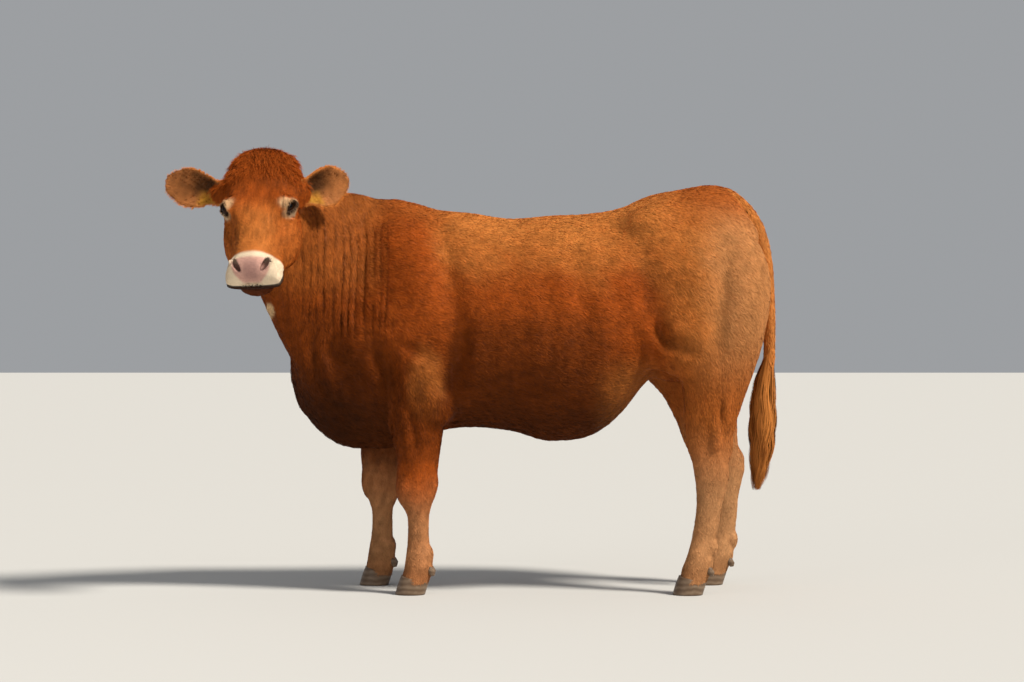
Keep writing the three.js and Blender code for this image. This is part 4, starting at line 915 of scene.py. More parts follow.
def markingsAndShade(p, n, part, h):  # the colour at each point, painted light and shade included: its place, its normal, its part, its place in the head
    side = {name: part == i for i, name in enumerate(partNames)}
    c = np.tile(shade["red"], (len(p), 1))

    def paint(name, amount):
        nonlocal c
        amount = np.clip(amount, 0, 1)[:, None]
        c = c + (shade[name] - c) * amount

    wander = hills(p, 190, 11) * 0.5 + hills(p, 70, 12) * 0.25
    body = ~(side["head"] | side["earLeft"] | side["earRight"])
    z, x = p[:, 2], p[:, 0]
    slant = np.c_[0.4 * (0.92 * x - 0.39 * z), p[:, 1], 0.39 * x + 0.92 * z]
    streak = hills(slant, 30, 51) * 0.45 + hills(slant, 13, 52) * 0.6
    behind = smooth(x + wander * 30 - (1100 - z) * 0.12, -300, -150)  # the barrel behind the shoulder, painted paler than the shoulder, where the painted light on the back reaches
    # painted light: the top of the barrel and the back lighter gold, as where the sun falls from above
    paint("gold", body * 0.92 * smooth(z + wander * 50, 980, 1230) * behind * smooth(-x, -620, -420))
    paint("gold", body * 0.25 * smooth(z + wander * 50, 1180, 1330))
    # painted light: the rump and the back of the thigh lighter gold and fawn, as where the sun falls from behind
    rear = smooth(x + wander * 40, 430, 640) * smooth(z, 600, 900) * smooth(-z, -1330, -1180)
    paint("gold", body * 0.85 * rear)
    paint("fawn", body * 0.45 * rear * smooth(x + wander * 30, 560, 720))
    # painted shade: the neck, shoulder and chest darker, on the side away from the sun
    paint("bay", body * 0.60 * smooth(-x + wander * 60, 300, 560))
    # painted shade: the lower flank, the middle of the flank, the belly and the brisket darker, where the body shades
    # itself
    paint("bay", body * 0.90 * smooth(-z + wander * 40, -1000, -640) * smooth(z, 380, 600)
          * (1 - 0.75 * smooth(x, 380, 560)))
    paint("dark", body * 0.62 * smooth(-z + wander * 24, -780, -540) * smooth(z, 330, 520)
          * (1 - 0.9 * smooth(x, 300, 480)) * (1 - smooth(-np.abs(x + 290), -110, -40)))
    paint("dark", body * 0.35 * smooth(-np.abs(x - 60), -330, -180) * smooth(-np.abs(z - 800), -170, -60))
    paint("dark", body * 0.30 * smooth(-x, 380, 560) * smooth(-z + wander * 30, -860, -640) * smooth(z, 330, 520))
    folds = neckCurtain(p)
    # painted shade in the grooves of the neck folds, and painted light on the top of the neck between them
    paint("dark", body * 0.75 * folds)
    paint("gold", body * 0.22 * smooth(-x, 400, 480) * smooth(z, 960, 1080) * (1 - folds))
    # painted shade low on the neck
    paint("dark", body * 0.20 * smooth(-x, 470, 640) * smooth(-z, -1060, -900))
    paint("gold", body * 0.45 * smooth(x, 230, 400) * smooth(-x, -560, -430) * smooth(-z, -820, -680)
          * smooth(z, 500, 560))
    # painted shade along the creases and hollows of the body
    for name in ("hollow before the shoulder", "hollow under the neck", "before the arm", "dewlap",
                 "behind the shoulder", "flank to the stifle", "front of the thigh", "beside the tail"):
        _, wide, begin, line = sideFolds[name]
        most = 80 if name == "beside the tail" else 400
        away, share = pathDistance(p[:, [0, 2]], line)
        apart = np.abs(p[:, 1])
        there = np.sin(np.clip(share, 0, 1) * math.pi * 0.92 + 0.12) * smooth(apart, begin * 0.7, begin * 1.6)
        there = there * smooth(-apart, -1.3 * most, -most)
        paint("dark", body * 0.38 * there * ridge(away, wide * 0.8))
    paint("gold", body * 0.35 * smooth(-np.hypot((x + 285) / 70, (z - 690) / 150) + wander * 0.2, -1.1, -0.4))
    low = smooth(-z + wander * 20, -600, -300)
    isHind = side["hindLeft"] | side["hindRight"]
    isFore = side["foreLeft"] | side["foreRight"]
    inner = smooth(np.where(p[:, 1] > 0, -n[:, 1], n[:, 1]), 0.1, 0.8)
    paint("gold", isHind * 0.35 * smooth(-z, -860, -560))
    paint("fawn", isHind * 0.72 * low)
    paint("fawn", isFore * 0.55 * smooth(-z + wander * 30, -440, -190))
    paint("fawn", (isHind | isFore) * 0.30 * inner * smooth(-z, -640, -480))
    paint("bay", isFore * 0.75 * smooth(-z, -760, -600) * smooth(z + wander * 40, 380, 480))
    paint("bay", (isHind | isFore) * 0.30 * smooth(-z, -130, -60))
    paint("gold", side["tail"] * 0.8)
    paint("bay", side["tail"] * 0.35 * smooth(-z, -760, -600))
    patch = np.hypot((x + 797) / 15, (z - 946) / 26)  # the pale mark at the throat
    paint("cream", smooth(-patch + wander * 0.2, -1.2, -0.8) * (p[:, 1] < -150) * 0.9)
    face = side["head"] * 1.0
    a, s, o = h[:, 1], np.abs(h[:, 0]), h[:, 2]
    paint("bay", face * 0.5 * smooth(-a + wander * 20, -230, -120))
    paint("gold", face * 0.50 * smooth(a + wander * 16, 190, 330) * smooth(-s + wander * 14, -88, -26))
    # painted light: the sides of the face lighter gold, as on the lit cheek
    paint("gold", face * 0.3 * smooth(a, 180, 260) * smooth(o, -200, -120))
    # painted shade under the jaw
    paint("bay", face * 0.65 * smooth(-o + wander * 12, 150, 215))
    throat = face * smooth(-o, 196, 222) * smooth(-np.abs(a - 262), -46, -22) * smooth(-s, -52, -24)
    paint("cream", throat * 0.8)
    for own in eyeFrames.values():
        q = (p - own["centre"]) @ own["axes"]
        around = np.linalg.norm(q, axis=1)
        r = np.hypot(q[:, 0] * 0.80, q[:, 1] + 2)
        r = np.minimum(r, np.hypot(q[:, 0] - 8, (q[:, 1] - 22) * 0.85) + 9)
        paint("cream", face * (around < 90) * smooth(-r + wander * 4, -35, -21) * 0.72)
        paint("whiteHair", face * (around < 60) * smooth(-np.hypot(q[:, 0] - 10, q[:, 1] + 19), -19, -8) * 0.45)
        paint("lid", (around < 38) * smooth(-slitOval(q), -1.62, -1.32) * 0.95)
    paint("whiteHair", face * smooth(a + wander * 3 + 12 * smooth(s, 46, 80), 408, 420))
    paint("whiteHair", face * smooth(a, 380, 400) * smooth(-o, 100, 124) * smooth(-s, -86, -70) * 0.5)
    pad = smooth(a + wander * 2, 428, 440) * padReach(h)
    paint("pink", face * pad * 0.95)
    paint("mauve", face * pad * 0.55 * smooth(-s, -34, -12) * smooth(o, -84, -50) * smooth(a, 434, 462))
    paint("mauve", face * pad * 0.18 * (hills(p, 14, 21) > 0.5))
    gap = o - mouthLevel(h)
    # painted shade in the slit of the mouth and on the chin below it
    chin = face * smooth(a, 380, 420) * smooth(-gap, 2, 7)
    paint("bay", chin)
    paint("hole", face * smooth(-np.abs(gap + 3.5), -5.5, -2.5) * smooth(a, 398, 412) * 0.9)
    paint("dark", chin * (0.35 + 0.5 * smooth(gap, -60, -20)))
    for sign, turn in nostrilAxes.items():
        q = (p - headPoint(sign * nostril["centre"][0], *nostril["centre"][1:])) @ turn
        r = np.linalg.norm(q / (nostril["radii"] + vec(1.0, 1.5, 0)), axis=1)
        paint("mauve", face * smooth(-r, -1.5, -1.1) * 0.35)
        # painted shade inside the nostril
        paint("hole", face * smooth(-r, -1.12, -0.92))
    for name, leaf in earFrames.items():
        own = side["ear" + name.title()] * 1.0
        e = (p - leaf["root"]) @ leaf["axes"]
        inside = own * smooth(n @ leaf["axes"][:, 2], 0.0, 0.3)
        edge = np.abs(e[:, 1]) / earReach(e[:, 0] / leaf["length"])
        under = smooth(-(p[:, 2] - leaf["root"][2] - 0.22 * e[:, 0]), -6, 26)
        paint("gold", own * 0.35)
        paint("earSkin", inside * 0.85)
        # painted shade deep in the cup of the ear, over its dark inner hair, reaching further on the left ear, which
        # lies in shade
        wide = 175 if name == "left" else 140
        paint("dark", inside * 0.85 * (1 - under) * smooth(-e[:, 0] + wander * 16, -wide, -wide / 2)
              * smooth(-edge, -0.95, -0.65))
        paint("wax", inside * 0.9 * under * smooth(-np.abs(e[:, 0] - 58), -44, -16) * smooth(-edge, -0.95, -0.7))
        paint("gold", own * 0.7 * smooth(edge, 0.84, 0.97))
    strand = hills(h * vec(1, 0.22, 0.5), 17, 53)
    streak = streak * (1 - 0.45 * smooth(x, 520, 640))
    streak = np.where(face > 0, strand * smooth(-a, -400, -330), streak)
    c = c * (1 + 0.06 * hills(p, 62, 31)[:, None] + 0.25 * streak[:, None])
    return np.clip(c, 0.002, 1)


colours = np.zeros_like(points)
for i in range(0, len(points), 30000):
    cut = slice(i, i + 30000)
    colours[cut] = markingsAndShade(points[cut], normals[cut], part[cut], inHead[cut])
say("markingsAndShade")

# the place of the shape in the frame
low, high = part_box("eye_left")
shift = np.array((low + high) / 2) * 1000 - eyeFrames["left"]["centre"]


def makeMesh(name, points, faces, sizes=None, smoothed=True):  # millimetres in, an object in metres out
    mesh = bpy.data.meshes.new(name)
    place = ((points + shift) / 1000).astype(np.float32)
    mesh.vertices.add(len(place))
    mesh.vertices.foreach_set("co", place.ravel())
    flat = faces.astype(np.int32).ravel()
    mesh.loops.add(len(flat))
    mesh.loops.foreach_set("vertex_index", flat)
    width = faces.shape[1]
    mesh.polygons.add(len(faces))
    mesh.polygons.foreach_set("loop_start", np.arange(0, len(flat), width, dtype=np.int32))
    mesh.update(calc_edges=True)
    if smoothed:
        mesh.polygons.foreach_set("use_smooth", np.ones(len(faces), bool))
    made = bpy.data.objects.new(name, mesh)
    bpy.context.scene.collection.objects.link(made)
    return made


def colourPoints(made, colours):
    own = made.data.color_attributes.new("markingsAndShade", "FLOAT_COLOR", "POINT")
    own.data.foreach_set("color", np.c_[colours, np.ones(len(colours))].astype(np.float32).ravel())


def valuePoints(made, name, values):
    own = made.data.attributes.new(name, "FLOAT", "POINT")
    own.data.foreach_set("value", values.astype(np.float32))


skin = makeMesh("skin", points, faces)
colourPoints(skin, colours)
a, o = inHead[:, 1], inHead[:, 2]
bare = isPart["head"] * smooth(a, 426, 440) * padReach(inHead)
valuePoints(skin, "bare", bare)

# tufts: length, width, how many to a square centimetre, how much they stand up; "poll" is added to "face"
tufts = {"seed": 7, "body": (17, 1.8, 7.7, 0.62), "leg": (10, 1.5, 13.0, 0.6), "face": (9, 1.3, 22.0, 0.6),
         "nose": (3.5, 0.9, 26.0, 0.5), "ear": (7, 1.1, 22.0, 0.6), "tail": (20, 2.0, 10.0, 0.8),
         "belly": (24, 2.0, 6.4, 0.9), "poll": (8, 0.3, -7, 0.2)}
onLeg = sum(isPart[k] for k in legs) > 0
grow = np.tile(np.array(tufts["body"], float), (len(points), 1))
for name, amount in (
    ("leg", onLeg * smooth(-points[:, 2], -620, -420)),
    ("belly", (~onLeg) * smooth(-points[:, 2], -620, -540) * smooth(-normals[:, 2], 0.3, 0.8)),
    ("face", isPart["head"]), ("nose", isPart["head"] * smooth(a, 380, 410)),
    ("ear", isPart["earLeft"] | isPart["earRight"]), ("tail", isPart["tail"]),
):
    grow = grow + (np.array(tufts[name], float) - grow) * amount[:, None]
onPoll = isPart["head"] * smooth(-a, -130, -60) * smooth(o, -110, -60)
grow += onPoll[:, None] * vec(*tufts["poll"])
density = grow[:, 2] * (1 - smooth(bare, 0.2, 0.7))
for own in eyeFrames.values():  # none inside the lids or the nostrils
    q = (points - own["centre"]) @ own["axes"]
    rim = np.hypot(q[:, 0] / eye["opening"][0], q[:, 1] / eye["opening"][1])
    density *= 1 - (np.linalg.norm(q, axis=1) < 36) * (rim < 1.18)
density *= 1 - isPart["head"] * (np.abs(o - mouthLevel(inHead)) < 5) * (a > 402)
density *= 1 - (points[:, 2] < 40)
depth = inParts(lambda p: coatDepth(p)[:, None], points)[:, 0]


def growTufts(chosen, rng):  # blades of three triangles rooted in the chosen faces
    f = faces[chosen]
    a, b, c = (points[f[:, i]] for i in range(3))
    area = np.linalg.norm(np.cross(b - a, c - a), axis=1) / 200  # square centimetres
    wanted = area * density[f].mean(1)
    count = np.floor(wanted + rng.random(len(wanted))).astype(int)
    f = np.repeat(f, count, 0)
    u, v = rng.random(len(f)), rng.random(len(f))
    over = u + v > 1
    u[over], v[over] = 1 - u[over], 1 - v[over]
    share = np.stack([1 - u - v, u, v], 1)[:, :, None]

    def at(values):
        return (values[f] * share).sum(1)

    root, normal, way = at(points), unit(at(normals)), at(lie)
    size, tall, colour = at(grow), (depth[f] * share[:, :, 0]).sum(1), at(colours)
    sway = np.radians(hills(root, 46, 41) * 13 + rng.normal(0, 9, len(f)))
    across = np.cross(normal, way)
    way = unit(way * np.cos(sway)[:, None] + across * np.sin(sway)[:, None])
    way = unit(way - normal * (way * normal).sum(1, keepdims=True))
    across = np.cross(normal, way)
    roll = rng.normal(0, 0.35, len(f))[:, None]
    flat = across * np.cos(roll) + normal * np.sin(roll)
    length = (size[:, 0] * rng.uniform(0.7, 1.25, len(f)))[:, None]
    width = (size[:, 1] * rng.uniform(0.7, 1.2, len(f)))[:, None] / 2
    rise = (tall * size[:, 3] * (1 + 0.35 * hills(root, 30, 43)) * rng.uniform(0.6, 1.15, len(f)))[:, None]
    bend = rng.normal(0, 0.10, len(f))[:, None] * length
    start = root - normal * 0.6
    middle = root + way * length * 0.5 + normal * rise * 0.75 + across * bend
    tip = root + way * length + normal * rise * 0.8
    made = np.stack([start - flat * width * 0.8, start + flat * width * 0.8, middle - flat * width,
                     middle + flat * width, tip], 1)
    index = np.arange(len(f))[:, None, None] * 5 + np.array([[0, 1, 3], [0, 3, 2], [2, 3, 4]])[None]
    # each blade darker at its root, as painted shade deep in the coat, and lighter at its tip
    tone = rng.normal(1, 0.08, len(f))[:, None, None] * np.array([0.76, 0.76, 1.0, 1.0, 1.14])[None, :, None]
    return made.reshape(-1, 3), index.reshape(-1, 3), (colour[:, None] * tone).reshape(-1, 3), flatPlace[f[:, 0]]


def mapRoots(made, roots, owners, pointsEach):  # a patch for each tuft at its root's place on the flat layout
    place = np.zeros_like(roots)
    shelf = 0.0
    kinds = np.unique(owners)
    spans = [np.ptp(roots[owners == k], axis=0) + 30 for k in kinds]
    widest = sum(span[1] for span in spans)
    tallest = max(span[0] for span in spans)
    for kind, span in zip(kinds, spans):
        own = owners == kind
        local = roots[own] - roots[own].min(0) + 12
        place[own, 0] = (shelf + local[:, 1]) / widest
        place[own, 1] = local[:, 0] / tallest
        shelf += span[1]
    place = np.clip(place * 0.985 + 0.005, 0.004, 0.992)
    rows = pointsEach // 2
    corner = [[x, y / rows] for y in range(rows) for x in (0, 1)] + [[0.5, 1]] * (pointsEach % 2)
    corner = np.array(corner) * 0.003
    perPoint = (place[:, None] + corner[None]).reshape(-1, 2)
    index = np.zeros(len(made.data.loops), np.int32)
    made.data.loops.foreach_get("vertex_index", index)
    layer = made.data.uv_layers.new(name="OFBake")
    layer.data.foreach_set("uv", perPoint[index].astype(np.float32).ravel())


def addNode(tree, kind, links=None, **settings):
    node = tree.nodes.new(kind)
    for key, value in settings.items():
        if hasattr(node, key):
            setattr(node, key, value)
        else:
            node.inputs[key.replace("_", " ")].default_value = value
    for socket, source in (links or {}).items():
        tree.links.new(source, node.inputs[socket])
    return node


def newMaterial(name, **settings):
    material = bpy.data.materials.new(name)
    material.use_nodes = True
    tree = material.node_tree
    shader = tree.nodes["Principled BSDF"]
    for key, value in settings.items():
        shader.inputs[key.replace("_", " ")].default_value = value
    return material, tree, shader


def mottle(tree, shader, scale, detail, least, most):  # the colour attribute with its painted light and shade, made lighter and darker by a fine noise
    tone = addNode(tree, "ShaderNodeAttribute", attribute_name="markingsAndShade")
    place = addNode(tree, "ShaderNodeTexCoord")
    fine = addNode(tree, "ShaderNodeTexNoise", {"Vector": place.outputs["Object"]}, Scale=scale, Detail=detail)
    spread = addNode(tree, "ShaderNodeMapRange", {"Value": fine.outputs["Fac"]}, From_Min=0.3, From_Max=0.7,
                     To_Min=least, To_Max=most)
    mixed = addNode(tree, "ShaderNodeVectorMath", {0: tone.outputs["Color"], 1: spread.outputs["Result"]},
                    operation="MULTIPLY")
    tree.links.new(mixed.outputs["Vector"], shader.inputs["Base Color"])
    return place, fine


# short cattle hair: matt keratin, warm where it shines, no two tufts quite the same tone
hair, tree, shader = newMaterial("cattleHair", Roughness=0.7, IOR=1.55, Specular_IOR_Level=0.12,
                                 Specular_Tint=(1.0, 0.72, 0.45, 1))
mottle(tree, shader, 900.0, 2.0, 0.86, 1.1)

# living hide: fine creased skin under the coat, moist pebbled leather on the nose
hide, tree, shader = newMaterial("cattleHide", Roughness=0.6, IOR=1.42, Specular_IOR_Level=0.2)
place, fine = mottle(tree, shader, 380.0, 3.0, 0.78, 1.08)
bareness = addNode(tree, "ShaderNodeAttribute", attribute_name="bare")
wet = addNode(tree, "ShaderNodeMapRange", {"Value": bareness.outputs["Fac"]}, To_Min=0.68, To_Max=0.34)
tree.links.new(wet.outputs["Result"], shader.inputs["Roughness"])
pebbles = addNode(tree, "ShaderNodeTexVoronoi", {"Vector": place.outputs["Object"]}, Scale=230.0,
                  feature="DISTANCE_TO_EDGE")
edges = addNode(tree, "ShaderNodeMapRange", {"Value": pebbles.outputs["Distance"]}, From_Max=0.12)
both = addNode(tree, "ShaderNodeMix", {"Factor": bareness.outputs["Fac"], "A": fine.outputs["Fac"],
                                        "B": edges.outputs["Result"]})
bump = addNode(tree, "ShaderNodeBump", {"Height": both.outputs["Result"]}, Strength=0.55, Distance=0.0016)
tree.links.new(bump.outputs["Normal"], shader.inputs["Normal"])

# hoof horn: grown in rings, worn matt, blotched
horn, tree, shader = newMaterial("hoofHorn", Roughness=0.5, IOR=1.54, Specular_IOR_Level=0.4)
place = addNode(tree, "ShaderNodeTexCoord")
rings = addNode(tree, "ShaderNodeTexWave", {"Vector": place.outputs["Object"]}, Scale=17.0, Distortion=3.4,
                Detail=2.0, Detail_Scale=1.5, bands_direction="Z")
blotch = addNode(tree, "ShaderNodeTexNoise", {"Vector": place.outputs["Object"]}, Scale=48.0, Detail=4.0)
mixture = addNode(tree, "ShaderNodeMath", {0: rings.outputs["Fac"], 1: blotch.outputs["Fac"]}, operation="MULTIPLY")
ramp = addNode(tree, "ShaderNodeValToRGB", {"Fac": mixture.outputs["Value"]})
ramp.color_ramp.elements[0].color = (*linear("#5a4430"), 1)
ramp.color_ramp.elements[1].color = (*linear("#86705a"), 1)
tree.links.new(ramp.outputs["Color"], shader.inputs["Base Color"])
bump = addNode(tree, "ShaderNodeBump", {"Height": rings.outputs["Fac"]}, Strength=0.2, Distance=0.0012)
tree.links.new(bump.outputs["Normal"], shader.inputs["Normal"])

# the eye under its wet cornea: dark brown iris, level oval pupil, browned rim
eyeball, tree, shader = newMaterial("wetEye", Roughness=0.09, IOR=1.36, Specular_IOR_Level=0.16, Coat_Weight=0.04,
                                    Coat_Roughness=0.03)
tone = addNode(tree, "ShaderNodeAttribute", attribute_name="markingsAndShade")
tree.links.new(tone.outputs["Color"], shader.inputs["Base Color"])


def finishPiece(made, material, nodes=()):
    made.data.materials.append(material)
    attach(made, "root")
    if nodes:
        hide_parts(*nodes)


flesh = [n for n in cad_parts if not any(k in n for k in ("claw", "eye", "switch"))]
finishPiece(skin, hide, flesh)

# the coat, in pieces by part of the body
faceMiddle = points[faces].mean(1)
onFace = {name: part[faces[:, 0]] == i for i, name in enumerate(partNames)}
lowFace = toHead(faceMiddle)[:, 1] > 190
coats = {"coatFace": onFace["head"] & lowFace, "coatForehead": onFace["head"] & ~lowFace,
         "coatEars": onFace["earLeft"] | onFace["earRight"], "coatNeck": onFace["neck"]}
for sideName, onSide in (("Left", faceMiddle[:, 1] < 0), ("Right", faceMiddle[:, 1] >= 0)):
    coats["coatTrunkFront" + sideName] = onFace["trunk"] & onSide & (faceMiddle[:, 0] < 120)
    coats["coatTrunkRear" + sideName] = onFace["trunk"] & onSide & (faceMiddle[:, 0] >= 120)
legCoats = {"coat" + name[0].upper() + name[1:]: onFace[name] for name in legs}
coats.update(legCoats, coatTail=onFace["tail"])
total = 0
for order, (name, chosen) in enumerate(coats.items()):
    rng = np.random.default_rng(tufts["seed"] + order)
    place, index, tones, roots = growTufts(np.flatnonzero(chosen), rng)
    made = makeMesh(name, place, index)
    colourPoints(made, tones)
    # the two ears are laid out over each other, so each has its own shelf on the map
    shelves = ((name == "coatEars") & (place[::5, 0] > -800)).astype(int)
    mapRoots(made, roots, shelves, 5)
    finishPiece(made, hair)
    total += len(index)
say(f"coat of {total} triangles")


def ribbons(paths, widths, flats):  # long hair along paths: count x steps x 3, with widths and side directions
    left = paths - flats * widths[:, :, None] / 2
    right = paths + flats * widths[:, :, None] / 2
    count, steps = paths.shape[:2]
    place = np.stack([left, right], 2).reshape(count, steps * 2, 3)
    quad = []
    for k in range(steps - 1):
        a = 2 * k
        quad += [[a, a + 1, a + 3], [a, a + 3, a + 2]]
    index = (np.arange(count)[:, None, None] * steps * 2 + np.array(quad)[None]).reshape(-1, 3)
    return place.reshape(-1, 3), index


def hairPiece(name, paths, widths, flats, colour, roots, nodes=()):
    place, index = ribbons(paths, widths, flats)
    made = makeMesh(name, place, index)
    colourPoints(made, np.repeat(colour, 2, axis=1).reshape(-1, 3))
    mapRoots(made, roots, np.zeros(len(roots), int), paths.shape[1] * 2)
    finishPiece(made, hair, nodes)


switchLocks = {"count": 4200, "locks": 26, "from": 820, "to": 335, "waves": 2.6, "sway": 6.5, "seed": 23}
# z, x, half width, half depth of the switch's hull
hull = np.array([(322, 822, 5, 6), (378, 831, 22, 25), (476, 841, 34, 39), (540, 843, 38, 43), (607, 845, 38, 43),
                 (695, 849, 34, 39), (730, 854, 30, 34), (758, 860, 25, 27), (810, 866, 20, 20), (830, 867, 18, 18)])
rng = np.random.default_rng(switchLocks["seed"])
count, steps = switchLocks["count"] // 1, 12
t = np.linspace(0, 1, steps)[None]
startZ = rng.uniform(590, switchLocks["from"], count)[:, None]
endZ = np.minimum(startZ - 120, switchLocks["to"] + 230 * rng.random(count)[:, None] ** 1.3)
z = startZ + (endZ - startZ) * t
rng.random(count)  # one draw for each strand, so that the locks keep their fall
share = rng.random(count)[:, None] ** 0.5
lock = rng.integers(0, switchLocks["locks"], count)[:, None]  # strands gather in locks that sway together
turn = lock * 2.4 + rng.normal(0, 0.22, (count, 1))
lockWave = np.sin((z - 330) / 490 * 2 * math.pi * switchLocks["waves"] + lock * 1.9) * smooth(-z, -760, -560)
middle, halfWide, halfDeep = (np.interp(z, hull[:, 0], hull[:, i]) for i in (1, 2, 3))
out = share * (smooth(t, 0, 0.35) * 0.35 + 0.65)
paths = np.stack([middle + np.cos(turn) * halfDeep * out + lockWave * switchLocks["sway"],
                  np.sin(turn) * halfWide * out + np.cos((z - 330) / 62 + lock * 1.3) * 3.5, z], -1)
flat = np.repeat(np.stack([-np.sin(turn), np.cos(turn), np.zeros_like(turn)], -1), steps, axis=1)
widths = 3.2 * rng.uniform(0.6, 1.2, count)[:, None] * (1 - 0.85 * smooth(t, 0.55, 1.0))
# the inner strands and the upper part of each strand darker: painted shade inside the switch
tint = shade["gold"] * 0.85 + (shade["bay"] * 0.7 - shade["gold"] * 0.85) * (
    smooth(1 - share, 0.1, 0.5)[:, :, None] * 0.55 + 0.3 * smooth(-z, -600, -420)[:, :, None]
    + 0.3 * (lock % 3 == 0)[:, :, None]).clip(0, 1)
colour = tint * rng.normal(1, 0.16, count)[:, None, None] * (0.75 + 0.45 * t)[:, :, None]
hairPiece("tailSwitch", paths, widths, flat, np.clip(colour, 0.002, 1),
          np.c_[startZ[:, 0], turn[:, 0] * 40], ("tail_switch",))
say("tail switch")


def longHairs(name, roots, ways, lengths, width, droop, colour, steps=5, seed=5, curl=0.0):
    rng = np.random.default_rng(seed)
    count = len(roots)
    t = np.linspace(0, 1, steps)[None, :, None]
    side = unit(np.cross(ways, rng.normal(size=(count, 3))))
    bow = np.cross(ways, side)
    paths = roots[:, None] + ways[:, None] * lengths[:, None, None] * t
    paths = paths + vec(0, 0, -1) * (lengths * droop)[:, None, None] * t**2
    phase = rng.uniform(0, 6.3, count)[:, None, None]
    paths = paths + (side[:, None] * np.sin(t * 5 + phase) + bow[:, None] * np.cos(t * 5 + phase)) * curl * t
    widths = width * (1 - 0.9 * t[:, :, 0] ** 1.5) * rng.uniform(0.7, 1.2, count)[:, None]
    # each hair darker at its root, as painted shade deep in the coat
    tone = rng.normal(1, 0.12, count)[:, None, None] * (0.8 + 0.35 * t)
    flats = np.repeat(side[:, None], steps, axis=1)
    hairPiece(name, paths, widths, flats, np.clip(colour * tone, 0.002, 1),
              np.c_[np.arange(count) % 211, np.arange(count) // 211] * 1.0)


def pickPoints(weight, count, seed):  # points of the skin by weight
    rng = np.random.default_rng(seed)
    weight = np.clip(weight, 0, None)
    return rng.choice(len(points), size=count, p=weight / weight.sum())


# the fringe of the ears
rootsAll, waysAll, lengthsAll = [], [], []
for number, (sideName, own) in enumerate(earFrames.items()):
    e = earPlace[sideName]
    mine = isPart["ear" + sideName.title()]
    edge = np.abs(e[:, 1]) / np.maximum(earReach(e[:, 0] / own["length"]), 1)
    rim = pickPoints(mine * smooth(edge, 0.82, 0.95) * (e[:, 0] > 18), 2600, 51 + number)
    rng = np.random.default_rng(71 + number)
    outward = own["axes"][:, 1] * np.sign(e[rim, 1:2])
    rootsAll.append(points[rim])
    waysAll.append(unit(own["axes"] @ vec(0.9, 0, 0.25) + outward * 0.8 + rng.normal(0, 0.22, (len(rim), 3))))
    lengthsAll.append(9 * rng.uniform(0.5, 1.15, len(rim)))
longHairs("earHair", *(np.concatenate(v) for v in (rootsAll, waysAll, lengthsAll)), 0.55, 0.12, shade["gold"] * 1.25,
          curl=1.2)

# the curly tuft on the poll
weight = onPoll * smooth(normals[:, 2], -0.3, 0.4)
chosen = pickPoints(weight, 5200 // (1), 81)
rng = np.random.default_rng(82)
way = unit(lie[chosen] + normals[chosen] * 0.42 + headTurn[:, 0] * hills(points[chosen], 40, 83)[:, None] * 0.5
           + rng.normal(0, 0.16, (len(chosen), 3)))
longHairs("pollTuft", points[chosen], way, rng.uniform(16, 32, len(chosen)), 1.7, 0.3, shade["red"] * 0.98,
          steps=7, seed=84, curl=4.5)
say("long hair")


def closedTube(rows, columns):  # triangles over rings of points, which a middle point for each end follows
    tris = []
    last = rows * columns
    for j in range(columns):
        k = (j + 1) % columns
        for low in range(0, last - columns, columns):
            high = low + columns
            tris += [[low + j, low + k, high + k], [low + j, high + k, high + j]]
        tris += [[last, k, j], [last + 1, last - columns + j, last - columns + k]]
    return np.array(tris)


for name, own in eyeFrames.items():
    rows, columns = 40, 64
    theta = np.linspace(0, math.pi, rows + 1)[1:-1]
    phi = np.arange(columns) * 2 * math.pi / columns
    grid = np.stack(np.meshgrid(theta, phi, indexing="ij"), -1).reshape(-1, 2)
    grid = np.r_[grid, [[0, 0], [math.pi, 0]]]
    local = np.stack([np.sin(grid[:, 0]) * np.cos(grid[:, 1]), np.sin(grid[:, 0]) * np.sin(grid[:, 1]),
                      np.cos(grid[:, 0])], 1)
    bulge = eye["radius"] * (1 + 0.055 * np.exp(-((grid[:, 0] / 0.52) ** 4)))
    place = own["centre"] + (local * bulge[:, None]) @ own["axes"].T
    tris = closedTube(rows - 1, columns)
    if np.linalg.det(own["axes"]) > 0:
        tris = tris[:, ::-1]
    white = linear("#33201a") * (1 - 0.55 * smooth(grid[:, :1], 1.05, 1.4))
    iris = linear("#2c1608") * (1 + 0.5 * np.sin(grid[:, 1:] * 23) * smooth(grid[:, :1], 0.3, 0.5))
    colour = iris + (white - iris) * smooth(grid[:, :1], 0.86, 0.98)
    pupil = np.hypot(local[:, 0] / 0.46, local[:, 1] / 0.26)[:, None]
    colour = linear("#050303") + (colour - linear("#050303")) * smooth(pupil, 0.85, 1.05)
    made = makeMesh("eye_ball_" + name, place, tris)
    colourPoints(made, np.clip(colour, 0.001, 1))
    finishPiece(made, eyeball, ("eye_" + name,))

# eyelashes along the upper lid
lashes = {"count": 60, "length": 12.0}
rootsAll, waysAll = [], []
for own in eyeFrames.values():
    q = (points - own["centre"]) @ own["axes"]
    rim = np.hypot(q[:, 0] / eye["opening"][0], q[:, 1] / eye["opening"][1])
    upper = isPart["head"] & (np.abs(rim - 1.12) < 0.12) & (q[:, 1] > 3) & (q[:, 2] > 8)
    chosen = pickPoints(upper * 1.0, lashes["count"], 91)
    rng = np.random.default_rng(92)
    rootsAll.append(points[chosen])
    waysAll.append(unit(own["axes"][:, 2] + own["axes"][:, 1] * 0.8 + own["axes"][:, 0] * (q[chosen, :1] / 30)
                        + rng.normal(0, 0.08, (lashes["count"], 3))))
rootsAll, waysAll = np.concatenate(rootsAll), np.concatenate(waysAll)
longHairs("eyelashes", rootsAll, waysAll, np.full(len(rootsAll), lashes["length"]), 0.5, 0.15, shade["bay"] * 0.6,
          curl=0.6)

claw = {"rows": 12, "outline": 18, "coronet": 52, "slope": 0.26, "split": 3.0}


